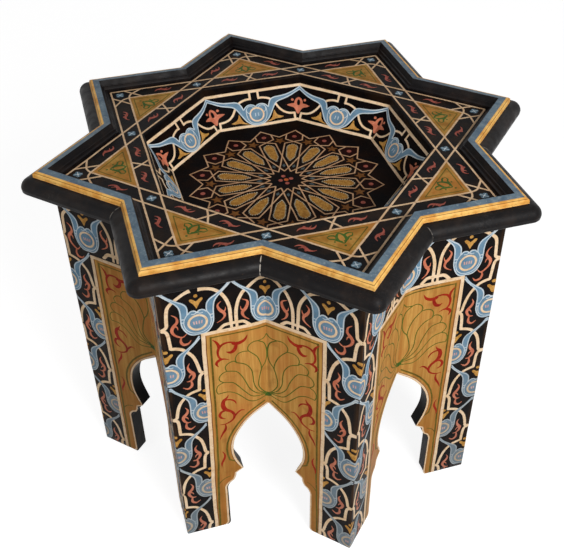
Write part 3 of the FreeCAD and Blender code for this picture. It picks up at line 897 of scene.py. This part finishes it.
BOARD_LAYERS = [
    ("board_panels", panel_shapes(), 0.10, OCHRE_PANEL, "varnished_panel"),
    ("board_panel_shades", panel_shade_shapes(), 0.13, UMBER_LINE, "green_paint"),
    ("board_panel_lines", panel_line_shapes(), 0.15, OLIVE, "green_paint"),
    ("board_palmettes", clipped(PALMETTE, FROM_CORNER), 0.16, GREEN, "green_paint"),
    ("board_palmette_bases", clipped([smooth(PALMETTE_BASE, 2)], FROM_CORNER), 0.20, LEAF, "green_paint"),
    ("board_scrolls", strokes(SCROLLS), 0.18, RED, "red_paint"),
    ("board_arch_lines", arch_line_shapes(), 0.20, CREAM, "cream_paint"),
    ("board_arch_shades", above_tooth(arch_band(*ARCH_DARK)), 0.22, UMBER_LINE, "green_paint"),
    ("board_lattice", lattice_shapes(), 0.20, CREAM, "cream_paint"),
    ("board_leaves", leaf_shapes(), 0.18, SALMON, "salmon_paint"),
    ("board_hearts", bud_lattice(heart_shapes()), 0.18, OCHRE, "ochre_paint"),
    ("board_buds", bud_lattice(bud_shapes()), 0.26, BLUE, "blue_paint"),
    ("board_bud_outlines", bud_lattice(bud_outlines()), 0.31, PALE, "blue_paint"),
    ("board_bud_rings", bud_lattice(ring((0, 0), RING_OUTER, RING_INNER)), 0.35, BUD_RING, "cream_paint"),
    ("board_bud_marks", bud_lattice(bud_marks()), 0.31, BLUSH, "salmon_paint"),
    ("board_frames", frame_shapes(), 0.38, CREAM, "cream_paint"),
]
# How the painter's hand slipped on some boards. Each row is a height, then how far across and up.
FRAME_SLIPS = {
    1: [(16, 4.2, 0), (90, 3.5, 0), (163, 0.8, 0), (237, -0.7, 0), (300, -1.2, 0), (362, -1.8, -1.9)],
    2: [(0, -1.6, 0), (300, -1.6, 0), (362, -1.6, 4.7)],
    15: [(0, 5.2, 0), (310, 4.6, 0), (362, 3.3, 0)],
}
LATTICE_SLIPS = {
    0: [(87, -1.8, -0.8), (160, -2, -4.2), (234, -4.2, -5.2), (307, -2.2, -3), (366, -1.2, 1),
        (384, -1, 0.4)],
    1: [(16, 5, 0), (90, 3.5, 0), (163, 0.8, 0), (237, -1.5, -1), (307, -2.2, -4.9), (366, -1.8, -1.9)],
    2: [(90, -2.2, 0.8), (163, -2.8, 0.8), (307, -3.6, 4), (366, -1.6, 4.9), (375, -1.8, 6.4),
        (384, -1.8, 6.4)],
    15: [(16, 5.2, 0), (90, 5.4, 0), (307, 3, 4.6), (362, 2.4, 1), (375, 2, 5)],
}
BUD_SLIPS = {
    0: [(90, 0, -3.7), (163, -3, 0.2), (310, -2.6, 1.7), (384, -1.3, 1.2)],
    1: [(16, 5, 0), (90, 3.5, 0), (163, 0.8, 0), (237, -0.7, -1), (310, -2.2, -2.9), (384, -1.8, -1.8)],
    2: [(90, -2.1, 5), (163, -2.2, 3), (310, -2.6, 2.2), (384, -2.6, 6.4)],
    15: [(16, 5.2, 0), (90, 5.4, 0), (310, 4.6, 2.2), (384, 2, 6)],
}
GARDEN_SLIPS = {
    0: [(190, 0, 0), (245, 0, 0), (330, 4.5, 2)],
    1: [(150, -1.5, -2), (330, -0.6, -2)],
    2: [(190, -1.5, 2), (330, 2, 3)],
    15: [(150, 2, 0), (330, 3, 0)],
}
VALLEY_HOLD = 14.0
ARCH_HOLD = 50
ARCH_LOOSENS = 20
FREE_SLIPS = (("board_lattice", LATTICE_SLIPS), ("board_leaves", LATTICE_SLIPS),
              ("board_palm", GARDEN_SLIPS), ("board_scrolls", GARDEN_SLIPS),
              ("board_bud", BUD_SLIPS), ("board_hearts", BUD_SLIPS))
# How near to an edge of the face counts as lying on it, and how far from the corner such paint is held
ON_EDGE = 0.1
CORNER_GAP = 0.05


def board_settler(name):
    """How one layer of a board's drawing is shifted and kept on the face."""
    free = [table for start, table in FREE_SLIPS if name.startswith(start)]
    slips = free[0] if free else FRAME_SLIPS

    def settle(flat, drawn, seed):
        if seed in slips:
            up, across, rise = np.array(slips[seed], float).T
            drawn = drawn.copy()
            # What meets its mirror image at the inward corner stays there, and what is held to the sawn
            # edge of the arch moves only towards the strips.
            loose = np.clip(flat[:, 0] / VALLEY_HOLD, 0, 1)
            share = 1.0 if free else np.clip((flat[:, 0] - ARCH_HOLD) / ARCH_LOOSENS, 0, 1)
            drawn[:, 0] += np.interp(flat[:, 1], up, across) * (share * loose)
            drawn[:, 1] += np.interp(flat[:, 1], up, rise) * loose
        x, y = flat.T
        kept_on = np.clip(drawn[:, 0], CORNER_GAP, BOARD_WIDTH)
        kept_on = np.where(x > BOARD_WIDTH - ON_EDGE, np.maximum(x, BOARD_WIDTH), kept_on)
        drawn[:, 0] = np.where(x < ON_EDGE, CORNER_GAP, kept_on)
        kept_on = np.clip(drawn[:, 1], ON_EDGE, BOARD_TOP)
        drawn[:, 1] = np.where(y > BOARD_TOP - ON_EDGE, BOARD_TOP, kept_on)
        return drawn

    return settle


for name, shapes, height, finish, slot in BOARD_LAYERS:
    # Cut where the eased edge begins and halfway round it, so that the layer can bend there
    strips = [window(left, right, 0, BOARD_TOP) for left, right in zip(WRAP_CUTS, WRAP_CUTS[1:])]
    shapes = [shape for strip in strips for shape in clipped(shapes, *strip)]
    paint_layer(name, shapes, BOARD_PLACES, height, finish, board_settler(name), BOARD_WIDTH)

# Top panel. Each drawing has the table's axis at its origin and a point of the star straight up.

INNER_LINE = 171.3
OUTER_LINE = 193.1
FIELD_STROKE = 2.3
TICK = 12.6
INNER_POINT = INNER_LINE * math.sqrt(2)
OUTER_POINT = OUTER_LINE * math.sqrt(2)


def band_shapes():
    """The two lines of one side of a square band, its crossed strokes, and those near the point."""
    cream = line((-INNER_LINE, INNER_LINE), (INNER_LINE, INNER_LINE), FIELD_STROKE, 16)
    cream += line((-OUTER_LINE, OUTER_LINE), (OUTER_LINE, OUTER_LINE), FIELD_STROKE, 16)
    cream += both(stroke([(-7.5, INNER_LINE), (0.5, 182), (7.5, OUTER_LINE)], FIELD_STROKE))
    level = INNER_POINT + 1.4
    cream += both(stroke([(OUTER_POINT - level, level), (17, level + 2), (8, level + 2.6), (0, INNER_POINT)],
                         FIELD_STROKE))
    cream += both(line((TICK, INNER_POINT - TICK), (TICK, OUTER_POINT - TICK), FIELD_STROKE, 3))
    return cream


TRIANGLE_HALF = INNER_POINT - OUTER_LINE
TRIANGLE = [(-TRIANGLE_HALF, OUTER_LINE), (TRIANGLE_HALF, OUTER_LINE), (0, INNER_POINT)]
TRIANGLE_INSET = 6.0
TRIANGLE_LINE = 1.4


def triangle_line_shapes():
    low = OUTER_LINE + TRIANGLE_INSET
    peak = INNER_POINT - TRIANGLE_INSET * math.sqrt(2)
    half = peak - low
    level, slope = ((0, low), (half, low)), ((half, low), (0, peak))
    return both(line(*level, TRIANGLE_LINE, 4) + line(*slope, TRIANGLE_LINE, 4))


LILY = [
    ([(0, 200.4), (3.2, 204), (5, 209), (3.8, 215), (0, 219.6)], [1.6, 2.8, 3.4, 2.6, 1.4]),
    ([(1, 216.4), (5.4, 213.4), (9, 209.8), (12.8, 208.6), (15, 204)], [2, 3, 2.2, 1.8, 0.5]),
    ([(4, 206.6), (7.4, 203.6), (11.6, 202.8), (14.4, 205)], [1.6, 2.4, 1.8, 0.5]),
]


def lily_shapes():
    return both(strokes(LILY) + [disc((9.2, 214.6), 1.3, 7)]) + [disc((0, 223.4), 1.5, 7)]


FIELD_LEAF = [(-15, -3.2), (-11.4, 0.6), (-6, 2.2), (-1, 0.6), (4, -2), (9, -2.4), (12.8, 0), (15, 3.4)]
FIELD_LEAF_WIDTHS = [0.5, 2.0, 3.6, 4.8, 4.2, 2.8, 1.8, 0.5]
FIELD_LEAF_SIZE = 0.8


def field_leaf_shapes():
    leaf = stroke(FIELD_LEAF, FIELD_LEAF_WIDTHS) + [disc((-2.6, 3.8), 2.1, 9)]
    leaf += stroke([(2, -1.4), (5.4, 1.4), (8.4, 4.2)], SPUR_WIDTHS)
    leaf = [[(x * FIELD_LEAF_SIZE, y * FIELD_LEAF_SIZE) for x, y in shape] for shape in leaf]
    middle = (INNER_LINE + OUTER_LINE) / 2
    leaves = turned(leaf, 0, (-29, middle)) + turned(leaf, 180, (30, middle))
    for side in (1, -1):
        leaves += turned(leaf, -45 * side, (42 * side, 216))
    return leaves


def at_flowers(shapes, degrees):
    """One flower in the square of each point and, turned by 45 degrees, one where the bands cross."""
    crossing = (INNER_LINE + OUTER_LINE) / 2
    in_point = turned(shapes, degrees, (0, (INNER_POINT + OUTER_POINT) / 2))
    return in_point + turned(shapes, 45 - degrees, (crossing * TO_CORNER, crossing))


PETALS = [disc(polar(3.1, 45 + 90 * k), 2.9, 9) for k in range(4)]
PETAL_CROSS = line((-5, 0), (5, 0), 0.8, 1) + line((0, -5), (0, 5), 0.8, 1) + [disc((0, 0), 1.3, 7)]
FIELD_TURNS = [HALF_STEP + STAR_STEP * number for number in range(CORNERS)]
FIELD_MIDDLE = UPRIGHT * (FIELD_LEVEL * MM)
FIELD_PLACES = [(FIELD_MIDDLE, -sideways(turn), direction(turn), UPRIGHT) for turn in FIELD_TURNS]

FIELD_LAYERS = [
    ("top_triangles", [TRIANGLE], 0.10, OCHRE_TRIANGLE, "varnished_panel"),
    ("top_triangle_lines", triangle_line_shapes(), 0.14, OLIVE, "green_paint"),
    ("top_lilies", lily_shapes(), 0.18, LEAF, "green_paint"),
    ("top_leaves", field_leaf_shapes(), 0.18, SPOT, "salmon_paint"),
    ("top_flowers", at_flowers(PETALS, 45), 0.18, FLOWER, "blue_paint"),
    ("top_flower_hearts", at_flowers(PETAL_CROSS, 0), 0.24, PALE, "blue_paint"),
]
paint_layers(FIELD_LAYERS, FIELD_PLACES)
ALL_BANDS = [shape for number in range(CORNERS) for shape in turned(band_shapes(), STAR_STEP * number)]
paint_layer("top_bands", ALL_BANDS, FIELD_PLACES[:1], 0.22, BAND_LINE)

# Well walls. Across is measured from the wall's middle and up its slope.

WALL_TURN = FRONT_CORNER_ANGLE + HALF_STEP
WALL_OUT = direction(WALL_TURN)
WALL_POINTS = node_points("well_wall_1")
WALL_REACH = WALL_POINTS @ np.array(WALL_OUT) / MM
WALL_FOOT = float(WALL_REACH.min())
WALL_TOP_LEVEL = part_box("well_wall_1")[1].z / MM
AT_TOP = WALL_POINTS[:, 2] / MM > WALL_TOP_LEVEL - 0.01
WALL_HEAD = float(WALL_REACH[AT_TOP].min())
WALL_RISE = WALL_TOP_LEVEL - FLOOR_LEVEL
WALL_LEAN = WALL_HEAD - WALL_FOOT
WALL_SLOPE = math.hypot(WALL_RISE, WALL_LEAN)
FOOT_HALF = WALL_FOOT * TO_CORNER
WIDENING = WALL_LEAN * TO_CORNER / WALL_SLOPE
WALL_ZONE = ((1, -WIDENING, FOOT_HALF), (-1, -WIDENING, FOOT_HALF), (0, -1, -0.1), (0, 1, WALL_SLOPE))
DRAWN_HIGH = 51.7
WALL_LINE = 4.0
WALL_SQUEEZE = (WALL_SLOPE - WALL_LINE) / DRAWN_HIGH


def on_wall(shapes):
    """Fits a drawing between the two cream lines of the wall and trims it at the corners."""
    fitted = [[(x, WALL_LINE / 2 + y * WALL_SQUEEZE) for x, y in shape] for shape in shapes]
    return clipped(fitted, *WALL_ZONE)


WALL_WING_LOW = [(0, 0), (6, 0.8), (11, 3), (17, 8), (22, 16), (26, 23), (30, 28.5), (35, 31.5), (43, 33.7),
                 (52, 36.5), (60, 40.5), (70, 45.5)]
WALL_WING_HIGH = [(72, 52), (66, 48.6), (58, 44.5), (48, 41), (38, 39.5), (28, 38.5), (23, 36), (20, 31),
                  (18.2, 25.5)]
WALL_LOBE = [(18.2, 25.5), (13.5, 30.5), (8, 32.4), (3, 31.2), (0, 28.6)]
WALL_RING = (0, 16.5)


def wall_bud_shapes():
    half = smooth(WALL_WING_LOW) + smooth(WALL_WING_HIGH)[:-1] + smooth(WALL_LOBE)
    return on_wall(both([half]))


WALL_FOLD = [(14.6, 25), (14.9, 19), (14, 12.6), (11, 7), (6, 3.6), (0, 2.6)]
WALL_LOBE_MIDDLE = (8.4, 24)
WALL_OUTLINE = 1.6
WALL_INSET = 0.6
WALL_STROKE = 3


def wall_outline_shapes():
    edges = stroke([(x - WALL_INSET, y + WALL_INSET) for x, y in WALL_WING_LOW], WALL_OUTLINE)
    for points in (WALL_WING_HIGH, WALL_LOBE):
        edges += stroke([(x, y - WALL_INSET) for x, y in points], WALL_OUTLINE)
    edges += stroke(WALL_FOLD, 1.0)
    edges += [part for part in ring(WALL_LOBE_MIDDLE, 6.2, 5.2, 16) if math.dist(part[0], WALL_RING) > 10]
    edges += line((-2.4, 14), (-2, 19), 1.2, 1) + line((2.4, 14), (2, 19), 1.2, 1)
    return on_wall(both(edges))


WALL_ARCS = [
    [(5, 40.4), (9, 40.6), (13, 40.2), (20, 38), (25.4, 34.4)],
    [(28.6, 30), (30.6, 26), (33.6, 20.6), (39, 14.7), (45, 11.6), (50, 10.6), (55, 10.2)],
]


def wall_lattice_shapes():
    half = line((0, DRAWN_HIGH), (75, DRAWN_HIGH), WALL_LINE) + line((0, 0), (62, 0), WALL_LINE)
    half += line((6, 50.5), (6, 39.2), WALL_STROKE, 2)
    half += strokes((points, WALL_STROKE) for points in WALL_ARCS)
    half += line((54, 11.4), (54, 0), WALL_STROKE, 2)
    return on_wall(both(half))


def corner_tulip(points):
    """Points given by their distance from the wall's corner, set out across the wall."""
    return [(FOOT_HALF + WIDENING * (WALL_LINE / 2 + y * WALL_SQUEEZE) - gap, y) for gap, y in points]


def wall_tulip_shapes():
    outline = [(-1, 33.2), (3.5, 32), (6.2, 28.5), (6.8, 24.8), (10, 25), (17.5, 23.6), (12, 20.6),
               (7.2, 18.4), (4, 14), (2.4, 9.6), (-1, 8.6), (-1, 19.4), (2, 21.4), (2.6, 25), (1.8, 28.8),
               (-1, 30.4)]
    dot = corner_tulip([(9.6, 30.4)])[0]
    return on_wall(both([smooth(corner_tulip(outline), 2, closed=True), disc(dot, 2.0, 9)]))


def wall_leaf_shapes():
    outline = [(11.5, 2.8), (19, 6.2), (22.6, 11), (24.4, 16.6), (26, 19), (27.4, 14.4), (31, 10), (38, 7.4),
               (33, 5.6), (27, 6), (21, 4.4)]
    return on_wall(both([smooth(outline, 2, closed=True)]))


WALL_PLACES = []
for number in range(CORNERS):
    turn = WALL_TURN + STAR_STEP * number
    outward = direction(turn)
    up = (outward * WALL_LEAN + UPRIGHT * WALL_RISE) / WALL_SLOPE
    out = (UPRIGHT * WALL_LEAN - outward * WALL_RISE) / WALL_SLOPE
    origin = (outward * WALL_FOOT + UPRIGHT * FLOOR_LEVEL) * MM
    WALL_PLACES.append((origin, -sideways(turn), up, out))

WALL_LAYERS = [
    ("wall_tulips", wall_tulip_shapes(), 0.14, SALMON, "salmon_paint"),
    ("wall_leaves", wall_leaf_shapes(), 0.14, OCHRE, "ochre_paint"),
    ("wall_lattice", wall_lattice_shapes(), 0.20, CREAM, "cream_paint"),
    ("wall_buds", wall_bud_shapes(), 0.26, BLUE, "blue_paint"),
    ("wall_bud_outlines", wall_outline_shapes(), 0.31, PALE, "blue_paint"),
    ("wall_bud_rings", on_wall(ring(WALL_RING, 11, 8.7)), 0.35, CREAM, "cream_paint"),
]
paint_layers(WALL_LAYERS, WALL_PLACES)

# Floor of the well: a rosette of sixteen petals between crossing lines

SPOKES = 16
SPOKE_STEP = 360 / SPOKES
PETAL_HALF = 11.3
SHOULDER = 90.0
CROSS_OUT = 100.2
ROSETTE_TIP = 125.5
LINE_START = PETAL_HALF * math.tan(math.radians(2.5 * SPOKE_STEP))
STAR_VALLEY = math.hypot(LINE_START, PETAL_HALF)
STAR_TIP = PETAL_HALF / math.cos(math.radians(3 * SPOKE_STEP))
HALF_SPOKE = math.tan(math.radians(SPOKE_STEP / 2))
VALLEY_SIDE = ROSETTE_TIP * HALF_SPOKE / (1 + HALF_SPOKE)
ROSETTE_LINE = 1.7
ROSETTE_SHIFT = Vector((0, -5.0, 0))
PETAL_OUTLINE = [(45.5, 0), (56, 5.6), (80, 7.4), (85, 5.6), (89, 0), (85, -5.6), (80, -7.4), (56, -5.6)]
STAR_OUT = 97.0
SMALL_STAR = (8.2, 3.6)
DASH_GAP = 3.0
DASH_HALF = 0.7
DASH_WIDTH = 1.5


def all_spokes(shapes, shift=0.0):
    return [shape for k in range(SPOKES) for shape in turned(shapes, SPOKE_STEP * (k + shift))]


def across_axis(shapes):
    return shapes + [[(x, -y) for x, y in shape] for shape in shapes]


def rosette_lines():
    half = line((LINE_START, PETAL_HALF), (SHOULDER, PETAL_HALF), ROSETTE_LINE, 4)
    half += line((SHOULDER - 0.4, PETAL_HALF), (CROSS_OUT + 0.4, -PETAL_HALF), ROSETTE_LINE, 2)
    half += line((CROSS_OUT, PETAL_HALF), (ROSETTE_TIP - PETAL_HALF, PETAL_HALF), ROSETTE_LINE, 1)
    half += line((ROSETTE_TIP + 0.6, -0.6), (ROSETTE_TIP - VALLEY_SIDE, VALLEY_SIDE), ROSETTE_LINE, 3)
    return all_spokes(across_axis(half))


def rosette_ground():
    wedge = [(0, 0), (ROSETTE_TIP, 0), (ROSETTE_TIP - VALLEY_SIDE, VALLEY_SIDE)]
    return all_spokes(across_axis([wedge]))


def petal_edge_shapes():
    """Short silver dashes round each petal."""
    dashes = []
    for (ax, ay), (bx, by) in zip(PETAL_OUTLINE, PETAL_OUTLINE[1:] + PETAL_OUTLINE[:1]):
        length = math.hypot(bx - ax, by - ay)
        steps = max(round(length / DASH_GAP), 2)
        ux, uy = (bx - ax) / length, (by - ay) / length
        for k in range(steps):
            middle = (k + 0.5) * length / steps
            x, y, dx, dy = ax + ux * middle, ay + uy * middle, ux * DASH_HALF, uy * DASH_HALF
            dashes += line((x - dx, y - dy), (x + dx, y + dy), DASH_WIDTH, 1)
    return all_spokes(dashes)


def cell_shapes():
    half = [(95.6, 0), (CROSS_OUT, PETAL_HALF), (ROSETTE_TIP - PETAL_HALF, PETAL_HALF), (ROSETTE_TIP - 1, 0)]
    return all_spokes(across_axis([half]))


def centre_star():
    return [[polar(radius, SPOKE_STEP * (k + shift))
             for k in range(SPOKES) for radius, shift in ((STAR_TIP, 0), (STAR_VALLEY, 0.5))]]


def small_stars():
    """Five-pointed stars between the cells, each with a point towards the middle."""
    star = [polar(SMALL_STAR[k % 2], 180 + 36 * k) for k in range(10)]
    return all_spokes(moved([star], (STAR_OUT, 0)), 0.5)


MARK = [(30, 0), (34, 2.2), (38.5, 0), (34, -2.2)]
CENTRE_DOTS = [disc(polar(*place), 2.9, 10) for place in ((8.6, 118), (7.4, 30), (7.2, 201), (8.2, 288))]
FLOOR_PLACE = [((UPRIGHT * FLOOR_LEVEL + ROSETTE_SHIFT) * MM, direction(0), sideways(0), UPRIGHT)]
FLOOR_LAYERS = [
    ("floor_ground", rosette_ground(), 0.05, UMBER, "well_paint"),
    ("floor_cells", cell_shapes(), 0.09, OXBLOOD, "red_paint"),
    ("floor_centre", centre_star(), 0.10, WELL_BLACK, "well_paint"),
    ("floor_petals", all_spokes([PETAL_OUTLINE]), 0.12, PETAL, "ochre_paint"),
    ("floor_petal_edges", petal_edge_shapes(), 0.17, SILVER, "cream_paint"),
    ("floor_stars", small_stars(), 0.12, BRONZE, "ochre_paint"),
    ("floor_marks", all_spokes([MARK], 0.5), 0.12, PETROL, "blue_paint"),
    ("floor_cell_spots", all_spokes([disc((109, 0), 3.2, 10)]), 0.14, SPOT, "salmon_paint"),
    ("floor_centre_dots", CENTRE_DOTS, 0.16, SPOT, "salmon_paint"),
    ("floor_heart", [disc((0.5, 0), 3.1, 10)], 0.18, EMBER, "ochre_paint"),
    ("floor_lines", rosette_lines(), 0.20, SAND, "cream_paint"),
]
paint_layers(FLOOR_LAYERS, FLOOR_PLACE)

# Camera at the photograph's viewpoint, found by fitting the star, the rim and the feet to the picture

PHOTO_WIDTH = 564
PHOTO_HEIGHT = 560
FOCAL_PIXELS = 865.6
OPTICAL_CENTRE = (289.0, 277.1)
AZIMUTH, ELEVATION, ROLL = 6.318, 39.679, -0.524
FIT_UNIT = 0.2926
CAMERA_DISTANCE = 4.2664 * FIT_UNIT
TARGET = Vector((0, 0.0654 * FIT_UNIT, FIELD_LEVEL * MM - 0.8089 * FIT_UNIT))
SENSOR = 36.0
CLIP_START = 0.05


def add_camera():
    azimuth, elevation = math.radians(AZIMUTH), math.radians(ELEVATION)
    back = Vector((math.sin(azimuth) * math.cos(elevation), -math.cos(azimuth) * math.cos(elevation),
                   math.sin(elevation)))
    camera = bpy.data.cameras.new("camera")
    camera.sensor_width = SENSOR
    camera.lens = FOCAL_PIXELS * SENSOR / PHOTO_WIDTH
    camera.shift_x = (PHOTO_WIDTH / 2 - OPTICAL_CENTRE[0]) / PHOTO_WIDTH
    camera.shift_y = (OPTICAL_CENTRE[1] - PHOTO_HEIGHT / 2) / PHOTO_WIDTH
    camera.clip_start = CLIP_START
    item = add_object("camera", camera)
    item.location = TARGET + back * CAMERA_DISTANCE
    item.rotation_euler = back.to_track_quat("Z", "Y").to_euler()
    item.rotation_euler.rotate_axis("Z", math.radians(ROLL))
    bpy.context.scene.camera = item


# Name, place, size across and power of each lamp, and the place that both look at
LAMPS = [("key", (0.92, -1.32, 1.36), 0.8, 30), ("fill", (-1.5, -1.6, 1.1), 1.4, 6.5)]
LAMP_AIM = Vector((0, 0, 0.35))


def add_lamp(name, place, size, power):
    light = bpy.data.lights.new(name, "AREA")
    light.shape = "DISK"
    light.size = size
    light.energy = power
    lamp = add_object(name, light)
    lamp.location = place
    lamp.rotation_euler = (Vector(place) - LAMP_AIM).to_track_quat("Z", "Y").to_euler()


def camera_sees(tree):
    """One for what the camera sees, directly or in a reflection, and zero for what lights the object."""
    path = tree.nodes.new("ShaderNodeLightPath").outputs
    total = path["Is Camera Ray"]
    for word in ("Is Glossy Ray", "Is Transmission Ray"):
        node = tree.nodes.new("ShaderNodeMath")
        node.operation = "MAXIMUM"
        total = fill(node, {0: total, 1: path[word]}).outputs[0]
    return total


WORLD_LIGHT = 0.22
BACKGROUND_LIGHT = 1.0
WHITE = (1, 1, 1, 1)


def add_world():
    world = bpy.data.worlds.new("studio")
    bpy.context.scene.world = world
    world.use_nodes = True
    tree = world.node_tree
    levels = {"Value": camera_sees(tree), "To Min": WORLD_LIGHT, "To Max": BACKGROUND_LIGHT}
    strength = fill(tree.nodes.new("ShaderNodeMapRange"), levels).outputs[0]
    fill(tree.nodes["Background"], {"Color": WHITE, "Strength": strength})


FLOOR_HALF = 12.0
FLOOR_GLOW = 0.89
FLOOR_LOOK = {"Base Color": (0.3, 0.3, 0.3, 1), "Roughness": 0.9, "Specular IOR Level": 0.1,
              "Emission Color": WHITE}


def add_floor():
    mesh = bpy.data.meshes.new("studio_floor")
    corners = [(x * FLOOR_HALF, y * FLOOR_HALF, 0) for x, y in ((-1, -1), (1, -1), (1, 1), (-1, 1))]
    mesh.from_pydata(corners, [], [(0, 1, 2, 3)])
    material = bpy.data.materials.new("studio_floor")
    material.use_nodes = True
    tree = material.node_tree
    glow = tree.nodes.new("ShaderNodeMath")
    glow.operation = "MULTIPLY"
    fill(glow, {0: camera_sees(tree), 1: FLOOR_GLOW})
    shader = fill(tree.nodes["Principled BSDF"], FLOOR_LOOK)
    fill(shader, {"Emission Strength": glow.outputs[0]})
    mesh.materials.append(material)
    floor = add_object("studio_floor", mesh)


add_camera()
add_world()
add_floor()
for lamp in LAMPS:
    add_lamp(*lamp)

bpy.context.scene.view_settings.view_transform = "Standard"
